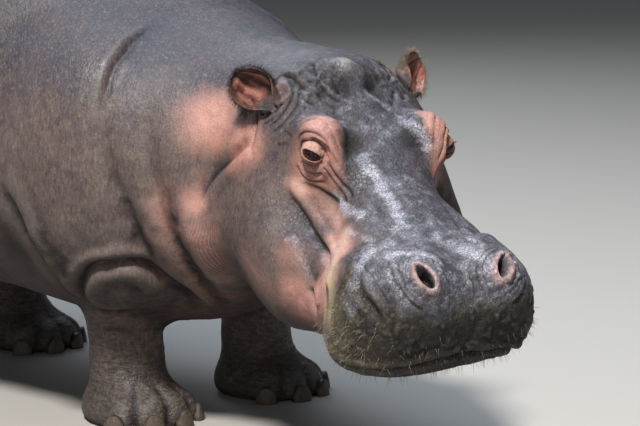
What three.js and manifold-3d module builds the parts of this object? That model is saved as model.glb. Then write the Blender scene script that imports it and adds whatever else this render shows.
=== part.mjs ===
// Hippopotamus standing with its head lowered and turned a little to its right, at life size.
// Millimetres, +Z up. The animal faces -Y and its left side is +X. The soles rest on z = 0.
import * as THREE from "three";
import { mergeVertices } from "three/addons/utils/BufferGeometryUtils.js";
import Module from "manifold-3d";

const wasm = await Module();
wasm.setup();

// Driving dimensions
const gap = 0.3; // between neighbouring pieces
const hipY = 1400; // hips behind the shoulders, which stand at y = 0
const barrelHalfWidth = 550;
const backTop = 1280;
const bellyBottom = 225;
const eyeSpan = 276; // between the centres of the eyeballs
const eyeRadius = 24;
const nostrilSpan = 152;
const nostrilForward = 390; // nostrils ahead of the eyes
const muzzleHalfWidth = 183;
const earLength = 92;
const soleRadius = 118;
const toesPerFoot = 4;
const tailLength = 400;

// Grid spacing each piece is meshed at
const cells = { trunk: 108, neck: 70, head: 41, leg: 56, foot: 36, tail: 33, earStalk: 21 };

// How the head is held: the point midway between the eyes, and its turns in degrees
const headPose = { x: -210, y: -690, z: 640, turnRight: 28, noseDown: 27 };

const radians = THREE.MathUtils.degToRad;
const vec = (x, y, z) => new THREE.Vector3(x, y, z);

// Frames: each has an origin and three axes; headFrame's are forward, left and up
function frameOf(origin, first, second, third) {
  return {
    origin,
    axes: [first, second, third],
    point: (a, b, c) => origin.clone().addScaledVector(first, a).addScaledVector(second, b)
      .addScaledVector(third, c),
    matrix: new THREE.Matrix4().makeBasis(first, second, third).setPosition(origin),
  };
}
const bodyFrame = frameOf(vec(0, 0, 0), vec(1, 0, 0), vec(0, 1, 0), vec(0, 0, 1));

function makeHeadFrame() {
  const turn = radians(headPose.turnRight);
  const down = radians(headPose.noseDown);
  const forward = vec(-Math.sin(turn) * Math.cos(down), -Math.cos(turn) * Math.cos(down), -Math.sin(down));
  const left = vec(Math.cos(turn), -Math.sin(turn), 0);
  const up = forward.clone().cross(left);
  return frameOf(vec(headPose.x, headPose.y, headPose.z), forward, left, up);
}
const headFrame = makeHeadFrame();

// Fields: a field gives a point's distance from a shape, negative inside
function lobe(frame, centre, radii) {
  const [ax, ay, az] = frame.axes;
  const middle = frame.point(...centre);
  const [ra, rb, rc] = radii;
  return (x, y, z) => {
    const dx = x - middle.x;
    const dy = y - middle.y;
    const dz = z - middle.z;
    const a = (dx * ax.x + dy * ax.y + dz * ax.z) / ra;
    const b = (dx * ay.x + dy * ay.y + dz * ay.z) / rb;
    const c = (dx * az.x + dy * az.y + dz * az.z) / rc;
    const near = Math.hypot(a, b, c);
    const slope = Math.hypot(a / ra, b / rb, c / rc);
    return slope > 0 ? near * (near - 1) / slope : -Math.min(ra, rb, rc);
  };
}

function limb(start, startRadius, end, endRadius) {
  const along = end.clone().sub(start);
  const lengthSquared = along.lengthSq();
  return (x, y, z) => {
    const dx = x - start.x;
    const dy = y - start.y;
    const dz = z - start.z;
    const t = THREE.MathUtils.clamp((dx * along.x + dy * along.y + dz * along.z) / lengthSquared, 0, 1);
    const away = Math.hypot(dx - along.x * t, dy - along.y * t, dz - along.z * t);
    return away - startRadius - (endRadius - startRadius) * t;
  };
}

function blend(softness, ...fields) {
  return (x, y, z) => {
    let sum = fields[0](x, y, z);
    for (let i = 1; i < fields.length; i += 1) {
      const other = fields[i](x, y, z);
      const overlap = Math.max(softness - Math.abs(sum - other), 0) / softness;
      sum = Math.min(sum, other) - overlap * overlap * softness / 4;
    }
    return sum;
  };
}

const pair = (make) => [make(1), make(-1)];

// Trunk: barrel, belly, chest, withers, croup, shoulders and thighs
const trunkField = blend(150,
  lobe(bodyFrame, [0, 800, backTop - 470], [barrelHalfWidth, 770, 470]), // barrel
  lobe(bodyFrame, [0, 720, bellyBottom + 410], [490, 700, 410]), // belly
  lobe(bodyFrame, [0, 190, bellyBottom + 235], [340, 390, 235]), // breastbone
  lobe(bodyFrame, [0, 60, 565], [360, 380, 325]), // chest
  lobe(bodyFrame, [0, -60, 460], [220, 240, 235]), // brisket
  lobe(bodyFrame, [0, 450, 880], [270, 420, 310]), // withers
  lobe(bodyFrame, [0, hipY - 230, backTop - 320], [340, 400, 310]), // croup
  lobe(bodyFrame, [0, hipY + 40, 800], [390, 330, 390]), // rump
  ...pair((side) => lobe(bodyFrame, [side * 255, 50, 585], [150, 220, 250])), // shoulders
  lobe(bodyFrame, [295, hipY - 200, 660], [185, 340, 340]), // left thigh, swung forward
  lobe(bodyFrame, [-300, hipY - 40, 660], [185, 310, 350]), // right thigh
);

// Head: every place is forward, left and up from the point midway between the eyes
const headField = blend(55,
  lobe(headFrame, [-95, 0, -95], [190, 165, 132]), // cranium
  lobe(headFrame, [-185, 0, -25], [100, 115, 56]), // poll
  ...pair((side) => lobe(headFrame, [-18, side * 112, -6], [72, 44, 50])), // brows
  limb(headFrame.point(20, 0, -120), 120, headFrame.point(315, 0, -115), 94), // bridge
  ...pair((side) => lobe(headFrame, [222, side * 96, -112], [105, 55, 70])), // canine roots
  lobe(headFrame, [348, 0, -131], [122, muzzleHalfWidth - 20, 109]), // muzzle
  ...pair((side) => lobe(headFrame, [342, side * 95, -136], [118, muzzleHalfWidth - 95, 109])), // upper lip
  ...pair((side) => lobe(headFrame, [nostrilForward - 8, side * nostrilSpan / 2, -48],
    [58, 44, 50])), // nostril mounds
  ...pair((side) => lobe(headFrame, [272, side * 128, -172], [92, 46, 78])), // lip corners
  lobe(headFrame, [292, 0, -202], [112, 134, 46]), // chin
  ...pair((side) => lobe(headFrame, [160, side * 105, -222], [180, 60, 70])), // jaw
  ...pair((side) => lobe(headFrame, [35, side * 147, -230], [162, 84, 124])), // cheeks
  ...pair((side) => lobe(headFrame, [-60, side * 138, -215], [120, 85, 135])), // jaw angle
  lobe(headFrame, [0, 0, -220], [230, 150, 120]), // throat
  lobe(headFrame, [-190, 0, -160], [170, 190, 175]), // back of the head
);

// Neck: nape above and throat below, from the withers to the head
const neckField = blend(120,
  limb(vec(0, 60, 585), 283, headFrame.point(-230, 0, -115), 165),
  limb(vec(0, -10, 540), 280, headFrame.point(-190, 0, -230), 185),
);

const fleshField = blend(90, blend(130, trunkField, neckField), headField);

// Meshes a field by surface nets on a grid that stands in the given frame
function polygonise(field, frame, low, high, cell) {
  const count = low.map((start, axis) => Math.ceil((high[axis] - start) / cell) + 1);
  const stride = [1, count[0], count[0] * count[1]];
  const at = (...place) => {
    const p = frame.point(...place);
    const walls = place.map((value, axis) => Math.max(low[axis] + cell - value, value - high[axis] + cell));
    return Math.max(field(p.x, p.y, p.z), ...walls);
  };
  const values = new Float64Array(count[0] * count[1] * count[2]);
  for (let k = 0; k < count[2]; k += 1) {
    for (let j = 0; j < count[1]; j += 1) {
      for (let i = 0; i < count[0]; i += 1) {
        const place = [i, j, k].map((n, axis) => low[axis] + n * cell);
        values[i + j * stride[1] + k * stride[2]] = at(...place);
      }
    }
  }
  const vertexOf = new Int32Array(values.length).fill(-1);
  const positions = [];
  const addVertex = (i, j, k) => {
    const base = i + j * stride[1] + k * stride[2];
    const sum = [0, 0, 0];
    let crossings = 0;
    for (let corner = 0; corner < 8; corner += 1) {
      for (let axis = 0; axis < 3; axis += 1) {
        if (corner & (1 << axis)) {
          continue;
        }
        const step = [corner & 1, (corner >> 1) & 1, (corner >> 2) & 1];
        const start = base + step[0] + step[1] * stride[1] + step[2] * stride[2];
        const a = values[start];
        const b = values[start + stride[axis]];
        if (a < 0 === b < 0) {
          continue;
        }
        step[axis] += a / (a - b);
        sum.forEach((_, n) => { sum[n] += step[n]; });
        crossings += 1;
      }
    }
    if (!crossings) {
      return;
    }
    const place = [i, j, k].map((n, axis) => low[axis] + (n + sum[axis] / crossings) * cell);
    settle(at, place, cell);
    vertexOf[base] = positions.length / 3;
    positions.push(...frame.point(...place).toArray());
  };
  for (let k = 0; k < count[2] - 1; k += 1) {
    for (let j = 0; j < count[1] - 1; j += 1) {
      for (let i = 0; i < count[0] - 1; i += 1) {
        addVertex(i, j, k);
      }
    }
  }
  const indices = [];
  for (let k = 1; k < count[2] - 1; k += 1) {
    for (let j = 1; j < count[1] - 1; j += 1) {
      for (let i = 1; i < count[0] - 1; i += 1) {
        const base = i + j * stride[1] + k * stride[2];
        for (let axis = 0; axis < 3; axis += 1) {
          const inside = values[base] < 0;
          if (inside === values[base + stride[axis]] < 0) {
            continue;
          }
          const u = stride[(axis + 1) % 3];
          const v = stride[(axis + 2) % 3];
          const ring = [base, base - u, base - u - v, base - v].map((cellIndex) => vertexOf[cellIndex]);
          addQuad(indices, positions, inside ? ring : ring.reverse());
        }
      }
    }
  }
  return solidOf(positions, indices);
}

// Slides a vertex onto the surface by a few short steps along the field's slope
const settling = { passes: 4, probe: 0.02, longest: 0.3, flattest: 0.05 };
function settle(at, place, cell) {
  const reach = cell * settling.probe;
  const longest = cell * settling.longest;
  for (let pass = 0; pass < settling.passes; pass += 1) {
    const here = at(...place);
    const slope = place.map((_, axis) => {
      const beside = [...place];
      beside[axis] += reach;
      return (at(...beside) - here) / reach;
    });
    const steepness = slope[0] ** 2 + slope[1] ** 2 + slope[2] ** 2;
    const step = THREE.MathUtils.clamp(here / Math.max(steepness, settling.flattest), -longest, longest);
    place.forEach((_, axis) => { place[axis] -= step * slope[axis]; });
  }
}

// Splits a quad along its shorter diagonal
function addQuad(indices, positions, ring) {
  const span = (a, b) => Math.hypot(...[0, 1, 2].map((n) => positions[a * 3 + n] - positions[b * 3 + n]));
  const [a, b, c, d] = ring;
  if (span(a, c) <= span(b, d)) {
    indices.push(a, b, c, a, c, d);
  } else {
    indices.push(a, b, d, b, c, d);
  }
}

function solidOf(positions, indices) {
  const mesh = new wasm.Mesh({
    numProp: 3,
    vertProperties: new Float32Array(positions),
    triVerts: new Uint32Array(indices),
  });
  return new wasm.Manifold(mesh);
}

function solidFrom(geometry, matrix) {
  const bare = new THREE.BufferGeometry();
  bare.setAttribute("position", geometry.getAttribute("position").clone());
  bare.setIndex(geometry.index);
  if (matrix) {
    bare.applyMatrix4(matrix);
  }
  const merged = mergeVertices(bare, 1e-3);
  return solidOf(merged.getAttribute("position").array, merged.index.array);
}

// A copy whose surface stands out by the given distance, to cut clearance for a neighbour
function grown(solid, distance) {
  const { vertProperties, triVerts } = solid.getMesh();
  const geometry = new THREE.BufferGeometry();
  geometry.setAttribute("position", new THREE.BufferAttribute(vertProperties, 3));
  geometry.setIndex(new THREE.BufferAttribute(triVerts, 1));
  geometry.computeVertexNormals();
  const normals = geometry.getAttribute("normal").array;
  const moved = vertProperties.map((value, n) => value + normals[n] * distance);
  return solidOf(moved, triVerts);
}

// A big box lying on the far side of a plane, whose normal points out of the box
function halfSpace(point, normal) {
  const size = 6000;
  const turn = new THREE.Quaternion().setFromUnitVectors(vec(0, 0, 1), normal.clone().normalize());
  const matrix = new THREE.Matrix4().compose(point, turn, vec(1, 1, 1));
  matrix.multiply(new THREE.Matrix4().makeTranslation(0, 0, -size / 2));
  return solidFrom(new THREE.BoxGeometry(size, size, size), matrix);
}

// The box in a frame between two corners
function boxIn(frame, low, high) {
  const middle = low.map((start, axis) => (start + high[axis]) / 2);
  const matrix = frame.matrix.clone().multiply(new THREE.Matrix4().makeTranslation(...middle));
  return solidFrom(new THREE.BoxGeometry(...low.map((start, axis) => high[axis] - start)), matrix);
}

function ball(frame, centre, radii, turns = [0, 0, 0], rings = 8) {
  const matrix = frame.matrix.clone()
    .multiply(new THREE.Matrix4().makeTranslation(...centre))
    .multiply(new THREE.Matrix4().makeRotationFromEuler(new THREE.Euler(...turns.map(radians))))
    .multiply(new THREE.Matrix4().makeScale(...radii));
  return solidFrom(new THREE.SphereGeometry(1, rings * 2, rings), matrix);
}

// Materials
const finish = (color, roughness) => new THREE.MeshStandardMaterial({ color, roughness, metalness: 0 });
const slateHide = finish("#4f4f58", 0.55);
const pinkHide = finish("#8a6a62", 0.55);
const legHide = finish("#5d5350", 0.6);
const eyeGloss = finish("#2a1710", 0.1);
const nailHorn = finish("#3b342e", 0.45);

const hippopotamus = new THREE.Group();
hippopotamus.name = "hippopotamus";

function addNode(name, solid, material) {
  const { vertProperties, triVerts } = solid.getMesh();
  const geometry = new THREE.BufferGeometry();
  geometry.setAttribute("position", new THREE.BufferAttribute(vertProperties, 3));
  geometry.setIndex(new THREE.BufferAttribute(triVerts, 1));
  const mesh = new THREE.Mesh(geometry, material);
  mesh.name = name;
  hippopotamus.add(mesh);
}

// Trunk, neck and head are parted by two slanted planes
const neckRoot = { point: vec(0, -150, 800), normal: vec(0, -1, 0.35).normalize() };
const neckTop = {
  point: headFrame.point(-240, 0, 0),
  normal: headFrame.axes[0].clone().addScaledVector(headFrame.axes[2], 0.3).normalize(),
};
const behind = ({ point, normal }) => halfSpace(point.clone().addScaledVector(normal, -gap / 2), normal);
const ahead = ({ point, normal }) => halfSpace(
  point.clone().addScaledVector(normal, gap / 2), normal.clone().negate());

const trunk = polygonise(fleshField, bodyFrame, [-700, -620, 100], [700, hipY + 620, 1500], cells.trunk)
  .intersect(behind(neckRoot));
const neck = polygonise(fleshField, bodyFrame, [-640, -860, 100], [560, 200, 1250], cells.neck)
  .intersect(ahead(neckRoot)).intersect(behind(neckTop));
let head = polygonise(fleshField, headFrame, [-470, -330, -480], [560, 330, 160], cells.head)
  .intersect(ahead(neckTop));

// Eyes: balls sunk in the brows
const eyeAt = (side, radius) => ball(headFrame, [-2, side * eyeSpan / 2, -8], [radius, radius, radius]);
const eyes = pair((side) => eyeAt(side, eyeRadius));
pair((side) => eyeAt(side, eyeRadius + gap)).forEach((socket) => { head = head.subtract(socket); });

// Nostrils: slanted pits in the mounds, each nearer its neighbour at the front
const nostrilRadii = [23, 10, 24]; // along the slit, across it and into the head
const nostrilPlaces = { left: [405, 73, -11], right: [413, -79, -18] };
function nostril(place) {
  const side = Math.sign(place[1]);
  const local = (f, l, u) => vec().addScaledVector(headFrame.axes[0], f)
    .addScaledVector(headFrame.axes[1], l * side).addScaledVector(headFrame.axes[2], u);
  const long = local(0.8, -0.5, -0.26).normalize();
  const across = local(0.45, 0.3, 0.85).cross(long).normalize();
  const frame = frameOf(headFrame.point(...place), long, across, long.clone().cross(across));
  return ball(frame, [0, 0, 0], nostrilRadii);
}
Object.values(nostrilPlaces).forEach((place) => { head = head.subtract(nostril(place)); });

// Lower jaw: what lies under the lips, ahead of the corners of the mouth
const mouth = { corner: 205, rise: -196, slope: 0.3 };
const jawRegion = (spare) => {
  const floor = halfSpace(
    headFrame.point(mouth.corner, 0, mouth.rise + spare),
    headFrame.axes[2].clone().addScaledVector(headFrame.axes[0], mouth.slope));
  const front = halfSpace(headFrame.point(mouth.corner - spare, 0, 0), headFrame.axes[0].clone().negate());
  return floor.intersect(front);
};
const lowerJaw = head.intersect(jawRegion(0));
head = head.subtract(jawRegion(gap));

addNode("trunk", trunk, slateHide);
addNode("neck", neck, slateHide);
addNode("head", head, slateHide);
addNode("lower_jaw", lowerJaw, pinkHide);
["left", "right"].forEach((side, n) => addNode(`eye_${side}`, eyes[n], eyeGloss));

// Ears: cupped leaves on short stalks, each with the way it points and the way its cup faces
const ears = {
  left: { seat: [-180, 130, 14], points: [-0.74, 0.58, 0.34], faces: [0.75, 0.47, 0.47] },
  right: { seat: [-180, -158, -5], points: [-0.6, -0.7, 0.41], faces: [0.64, -0.64, 0.42] },
};
const earPlan = {
  thick: 22, halfWide: 42, wall: 9, hollowOut: 20, stalkRoot: 31, stalkTip: 22, buried: 40, rings: 6,
};
function makeEar({ seat, points, faces }) {
  const inHead = ([f, l, u]) => headFrame.point(f, l, u).sub(headFrame.origin).normalize();
  const up = inHead(points);
  const across = up.clone().cross(inHead(faces)).normalize();
  const frame = frameOf(headFrame.point(...seat), across.clone().cross(up), across, up);
  const halfLeaf = earLength * 0.45;
  const leafMiddle = earLength - halfLeaf;
  const cup = ball(frame, [0, 0, leafMiddle], [earPlan.thick, earPlan.halfWide, halfLeaf],
    [0, 0, 0], earPlan.rings);
  const hollow = ball(frame, [earPlan.hollowOut, 0, leafMiddle + 3],
    [earPlan.thick + 3, earPlan.halfWide - earPlan.wall, halfLeaf - earPlan.wall + 1],
    [0, 0, 0], earPlan.rings);
  const stalk = polygonise(
    limb(frame.point(-4, 0, -earPlan.buried), earPlan.stalkRoot, frame.point(-4, 0, 18), earPlan.stalkTip),
    frame, [-60, -60, -90], [60, 60, 60], cells.earStalk);
  return cup.add(stalk).subtract(hollow);
}
const headClearance = grown(head, gap * 2);
Object.entries(ears).forEach(([name, pose]) => {
  addNode(`ear_${name}`, makeEar(pose).subtract(headClearance), pinkHide);
});

// Legs: each is a chain of joints from the body to the foot, with a radius at each joint
const legs = {
  fore_left: {
    chain: [[250, 20, 560, 130], [240, 10, 440, 118], [224, -20, 290, 86], [218, -25, 165, 75]],
    foot: [212, -58], heading: 2,
  },
  fore_right: {
    chain: [[-225, 40, 560, 130], [-215, 40, 440, 118], [-194, 10, 300, 88], [-184, 6, 165, 75]],
    foot: [-180, -14], heading: -14,
  },
  hind_left: {
    chain: [[290, hipY - 230, 620, 190], [285, hipY - 370, 470, 150], [268, hipY - 440, 290, 92],
      [264, hipY - 560, 150, 78]],
    foot: [262, hipY - 640], heading: 2,
  },
  hind_right: {
    chain: [[-290, hipY - 40, 600, 180], [-280, hipY - 110, 460, 145], [-235, hipY + 60, 290, 90],
      [-226, hipY + 40, 150, 77]],
    foot: [-224, hipY], heading: -6,
  },
};
const ankleZ = 150;
const toe = { apart: 34, out: 98, height: 24, radii: [38, 34, 38] }; // degrees apart round the foot
const nailShape = { out: 128, radii: [13, 17, 20], rings: 4 };

function legFields({ chain, foot, heading }) {
  const joints = chain.map(([x, y, z, radius]) => ({ at: vec(x, y, z), radius }));
  const bones = joints.slice(1).map((joint, n) => limb(
    joints[n].at, joints[n].radius, joint.at, joint.radius));
  const turn = radians(heading);
  const footFrame = frameOf(vec(foot[0], foot[1], 0),
    vec(Math.sin(turn), -Math.cos(turn), 0), vec(Math.cos(turn), Math.sin(turn), 0), vec(0, 0, 1));
  const toes = Array.from({ length: toesPerFoot }, (_, n) => {
    const spread = radians((n - (toesPerFoot - 1) / 2) * toe.apart);
    return [Math.cos(spread), Math.sin(spread)];
  });
  const last = joints.at(-1);
  const field = blend(34,
    ...bones,
    limb(last.at, last.radius, footFrame.point(-20, 0, 60), 84),
    lobe(footFrame, [-6, 0, 26], [soleRadius, soleRadius * 0.96, 62]),
    ...toes.map(([c, s]) => lobe(footFrame, [c * toe.out, s * toe.out, toe.height], toe.radii)),
  );
  return { field, footFrame, toes };
}

const trunkClearance = grown(trunk, gap * 2);
const neckClearance = grown(neck, gap * 2);
const floorUp = halfSpace(vec(0, 0, 0), vec(0, 0, -1));
Object.entries(legs).forEach(([name, leg]) => {
  const { field, footFrame, toes } = legFields(leg);
  const xs = leg.chain.map((joint) => joint[0]);
  const ys = leg.chain.map((joint) => joint[1]);
  const reach = 240;
  const whole = polygonise(field, bodyFrame,
    [Math.min(...xs) - reach, Math.min(...ys, leg.foot[1]) - reach, 60],
    [Math.max(...xs) + reach, Math.max(...ys) + reach, 860], cells.leg);
  const shank = whole.subtract(trunkClearance).subtract(neckClearance)
    .intersect(halfSpace(vec(0, 0, ankleZ + gap), vec(0, 0, -1)));
  addNode(`${name}_leg`, shank, legHide);
  const foot = polygonise(field, footFrame, [-190, -190, -76], [190, 190, 240], cells.foot)
    .intersect(halfSpace(vec(0, 0, ankleZ), vec(0, 0, 1))).intersect(floorUp);
  const footClearance = grown(foot, gap * 2);
  toes.forEach(([c, s], n) => {
    const nailAt = [c * nailShape.out, s * nailShape.out, toe.height];
    const turnZ = THREE.MathUtils.radToDeg(Math.atan2(s, c));
    const nail = ball(footFrame, nailAt, nailShape.radii, [0, 0, turnZ], nailShape.rings);
    addNode(`${name}_nail_${n + 1}`, nail.subtract(footClearance), nailHorn);
  });
  addNode(`${name}_foot`, foot, legHide);
});

// Tail: a short flattened paddle that hangs down the back of the thighs
const tailPlan = { lengths: 4, rootRadius: 50, thinning: 8, out: 40, sweep: 50 };
function makeTail() {
  const root = vec(0, hipY + 320, 920);
  const { lengths, rootRadius, thinning, out, sweep } = tailPlan;
  const points = Array.from({ length: lengths + 1 }, (_, n) => {
    const t = n / lengths;
    return root.clone().add(vec(0, out + sweep * Math.sin(t * Math.PI / 2), -tailLength * t));
  });
  const bones = points.slice(1).map((point, n) => limb(
    points[n], rootRadius - thinning * n, point, rootRadius - thinning * (n + 1)));
  return polygonise(blend(12, ...bones), bodyFrame,
    [-110, hipY + 180, 460], [110, hipY + 560, 1080], cells.tail);
}
addNode("tail", makeTail().subtract(trunkClearance), slateHide);

// The origin is under the middle of the animal, on the floor
const bounds = new THREE.Box3().setFromObject(hippopotamus);
const middle = bounds.getCenter(vec());
hippopotamus.position.set(-middle.x, -middle.y, -bounds.min.z);

export default hippopotamus;
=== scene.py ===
import math
import bmesh
import bpy
import numpy as np
from mathutils import Matrix, Vector
from mathutils.bvhtree import BVHTree
from mathutils.kdtree import KDTree


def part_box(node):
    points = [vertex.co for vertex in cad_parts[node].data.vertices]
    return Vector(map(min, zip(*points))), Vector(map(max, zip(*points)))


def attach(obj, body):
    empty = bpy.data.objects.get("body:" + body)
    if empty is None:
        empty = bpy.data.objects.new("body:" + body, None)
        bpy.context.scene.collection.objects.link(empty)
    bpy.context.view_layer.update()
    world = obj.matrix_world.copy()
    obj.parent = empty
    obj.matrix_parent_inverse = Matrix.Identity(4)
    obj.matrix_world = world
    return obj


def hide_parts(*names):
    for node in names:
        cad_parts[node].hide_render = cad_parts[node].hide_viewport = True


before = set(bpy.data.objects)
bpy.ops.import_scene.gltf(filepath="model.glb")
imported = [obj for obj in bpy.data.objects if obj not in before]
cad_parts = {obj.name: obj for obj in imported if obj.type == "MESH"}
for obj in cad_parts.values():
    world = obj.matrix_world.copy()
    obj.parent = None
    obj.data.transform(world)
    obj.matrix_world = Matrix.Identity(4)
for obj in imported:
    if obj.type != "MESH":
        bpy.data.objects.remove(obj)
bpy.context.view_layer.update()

# Places on the head are millimetres forward, left and up from the point between the eyes.


def boxMiddle(node):
    low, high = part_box(node)
    return (np.array(low) + np.array(high)) / 2


headHold = {"turnRight": 28, "noseDown": 27, "eyeAhead": -0.002, "eyeUp": -0.008}


def headAxes():
    turn, down = math.radians(headHold["turnRight"]), math.radians(headHold["noseDown"])
    forward = np.array([-math.sin(turn) * math.cos(down), -math.cos(turn) * math.cos(down), -math.sin(down)])
    left = np.array([math.cos(turn), -math.sin(turn), 0])
    return np.array([forward, left, np.cross(forward, left)])


headRows = headAxes()
eyeMiddles = {side: boxMiddle("eye_" + side) for side in ("left", "right")}
betweenEyes = ((eyeMiddles["left"] + eyeMiddles["right"]) / 2
               - headRows[0] * headHold["eyeAhead"] - headRows[2] * headHold["eyeUp"])


def toHead(points):
    return (np.asarray(points) - betweenEyes) @ headRows.T * 1000


def fromHead(places):
    return np.asarray(places, dtype=float) / 1000 @ headRows + betweenEyes


def turnFromHead(vectors):
    return np.asarray(vectors, dtype=float) @ headRows


def mirrored(place):
    return np.array([place[0], -place[1], place[2]])


def unit(vectors):
    vectors = np.asarray(vectors, dtype=float)
    return vectors / np.maximum(np.linalg.norm(vectors, axis=-1, keepdims=True), 1e-12)


# camera: off the right front, a little above the eyes
cameraPlan = {"azimuth": -52, "elevation": 8, "distance": 4.4, "aimRight": -0.114, "aimUp": -0.1276,
              "lens": 128, "sensor": 36, "clipEnd": 100}


def makeCamera():
    az = math.radians(cameraPlan["azimuth"])
    el = math.radians(cameraPlan["elevation"])
    right = np.array([math.cos(az), math.sin(az), 0])
    toward = np.array([math.sin(az) * math.cos(el), -math.cos(az) * math.cos(el), math.sin(el)])
    up = np.cross(toward, right)
    aim = betweenEyes + right * cameraPlan["aimRight"] + up * cameraPlan["aimUp"]
    data = bpy.data.cameras.new("camera")
    data.lens = cameraPlan["lens"]
    data.sensor_width = cameraPlan["sensor"]
    data.clip_end = cameraPlan["clipEnd"]
    camera = bpy.data.objects.new("camera", data)
    place = aim + toward * cameraPlan["distance"]
    rows = np.array([right, up, toward]).T
    camera.matrix_world = Matrix([[*rows[i], place[i]] for i in range(3)] + [[0, 0, 0, 1]])
    bpy.context.collection.objects.link(camera)
    bpy.context.scene.camera = camera


makeCamera()
print("camera set")


def pointsOf(mesh):
    flat = np.empty(len(mesh.vertices) * 3)
    mesh.vertices.foreach_get("co", flat)
    return flat.reshape(-1, 3)


def normalsOf(mesh):
    flat = np.empty(len(mesh.vertices) * 3)
    mesh.vertices.foreach_get("normal", flat)
    return flat.reshape(-1, 3)


def edgesOf(mesh):
    flat = np.empty(len(mesh.edges) * 2, dtype=np.int32)
    mesh.edges.foreach_get("vertices", flat)
    return flat.reshape(-1, 2)


def setPoints(mesh, points):
    mesh.vertices.foreach_set("co", np.asarray(points).ravel())
    mesh.update()


def writeMarks(mesh, marks):
    # one number at every point for each named mark
    for name, values in marks.items():
        layer = mesh.attributes.new(name, "FLOAT", "POINT")
        layer.data.foreach_set("value", np.asarray(values).ravel().astype(np.float32))


def shadeSmooth(mesh):
    mesh.polygons.foreach_set("use_smooth", [True] * len(mesh.polygons))


def faceOutwards(mesh, weld=0):
    bm = bmesh.new()
    bm.from_mesh(mesh)
    if weld:
        bmesh.ops.remove_doubles(bm, verts=bm.verts, dist=weld)
    bmesh.ops.recalc_face_normals(bm, faces=bm.faces)
    bm.to_mesh(mesh)
    bm.free()


def sheetFaces(rows, columns):
    # two sheets of rows by columns, one behind the other, closed round their edge
    count = rows * columns
    at = np.arange(count).reshape(rows, columns)
    quads = np.stack([at[:-1, :-1], at[:-1, 1:], at[1:, 1:], at[1:, :-1]], axis=-1).reshape(-1, 4)
    faces = [list(q) for q in quads] + [list(q[::-1] + count) for q in quads]
    loop = list(at[0, :]) + list(at[1:, -1]) + list(at[-1, -2::-1]) + list(at[-2:0:-1, 0])
    faces += [[loop[i - 1], loop[i - 1] + count, loop[i] + count, loop[i]] for i in range(len(loop))]
    return faces


def relax(values, edges, weight, rounds):
    # each value moves towards the mean of its neighbours'
    count = len(values)
    degree = np.maximum(np.bincount(edges.ravel(), minlength=count), 1)[:, None]
    for _ in range(rounds):
        total = np.empty_like(values)
        for axis in range(values.shape[1]):
            column = values[:, axis]
            total[:, axis] = (np.bincount(edges[:, 0], column[edges[:, 1]], count)
                              + np.bincount(edges[:, 1], column[edges[:, 0]], count))
        values = values + weight * (total / degree - values)
    return values


def objectFrom(name, points, faces):
    mesh = bpy.data.meshes.new(name)
    mesh.from_pydata(np.asarray(points).tolist(), [], [list(f) for f in faces])
    mesh.update()
    ob = bpy.data.objects.new(name, mesh)
    bpy.context.collection.objects.link(ob)
    return ob


def applied(ob):
    graph = bpy.context.evaluated_depsgraph_get()
    mesh = bpy.data.meshes.new_from_object(ob.evaluated_get(graph), depsgraph=graph)
    ob.modifiers.clear()
    ob.data = mesh
    return ob


def combine(ob, other, operation):
    # joins or cuts one closed mesh with another, which is then removed
    mod = ob.modifiers.new("combine", "BOOLEAN")
    mod.operation = operation
    mod.solver = "MANIFOLD"
    mod.object = other
    applied(ob)
    bpy.data.objects.remove(other)


def smooth(low, high, x):
    t = np.clip((x - low) / (high - low), 0, 1)
    return t * t * (3 - 2 * t)


def bell(x):
    return np.exp(-x * x)


# whole numbers that scramble a cell's place, and the turn and shift from one octave to the next
noisePlan = {"x": 374761393, "y": 668265263, "z": 2147483647, "seed": 1013904223, "mix": 1274126177,
             "turn": np.array([[0.8, 0.6, 0], [-0.48, 0.64, 0.6], [0.36, -0.48, 0.8]]), "shift": 17.3}


def lattice(x, y, z, seed):
    plan = noisePlan
    n = x * plan["x"] + y * plan["y"] + z * plan["z"] + seed * plan["seed"]
    n = (n ^ (n >> 13)) * plan["mix"]
    return ((n ^ (n >> 16)) & 65535) / 32767.5 - 1


def noise(places, size, seed=1, octaves=2):
    # smooth random values from -1 to 1, with lumps of about the given size
    total, share, result = 0, 1, 0
    q = np.asarray(places) / size
    for octave in range(octaves):
        cell = np.floor(q).astype(np.int64)
        t = q - cell
        t = t * t * t * (t * (t * 6 - 15) + 10)
        value = 0
        for i in (0, 1):
            for j in (0, 1):
                for k in (0, 1):
                    weight = (np.abs(1 - i - t[:, 0]) * np.abs(1 - j - t[:, 1]) * np.abs(1 - k - t[:, 2]))
                    corner = lattice(cell[:, 0] + i, cell[:, 1] + j, cell[:, 2] + k, seed + octave)
                    value = value + weight * corner
        result = result + value * share
        total += share
        share *= 0.5
        q = q @ noisePlan["turn"] * 2 + noisePlan["shift"]
    return result / total


def curveThrough(places, count):
    # a smooth curve through named places
    places = np.asarray(places, dtype=float)
    ends = np.concatenate([[2 * places[0] - places[1]], places, [2 * places[-1] - places[-2]]])
    at = np.linspace(0, len(places) - 1 - 1e-9, count)
    i = at.astype(int)
    t = (at - i)[:, None]
    a, b, c, d = ends[i], ends[i + 1], ends[i + 2], ends[i + 3]
    bend, twist = 2 * a - 5 * b + 4 * c - d, 3 * b - a - 3 * c + d
    return 0.5 * (2 * b + (c - a) * t + bend * t * t + twist * t ** 3)


# skin: one closed surface over all the flesh
skinPlan = {"voxel": 0.014, "swell": 0.0006, "weld": 1e-5}
# how far each node's flat facets are softened
softPlan = {"trunk": 1, "neck": 0.6, "other": 0.2, "weight": 0.5, "rounds": 40, "blendRounds": 12}
legNames = ["fore_left", "fore_right", "hind_left", "hind_right"]
nailNumbers = (1, 2, 3, 4)
fleshNodes = (["trunk", "neck", "head", "lower_jaw", "tail"]
              + [name + part for name in legNames for part in ("_leg", "_foot")])


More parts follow.
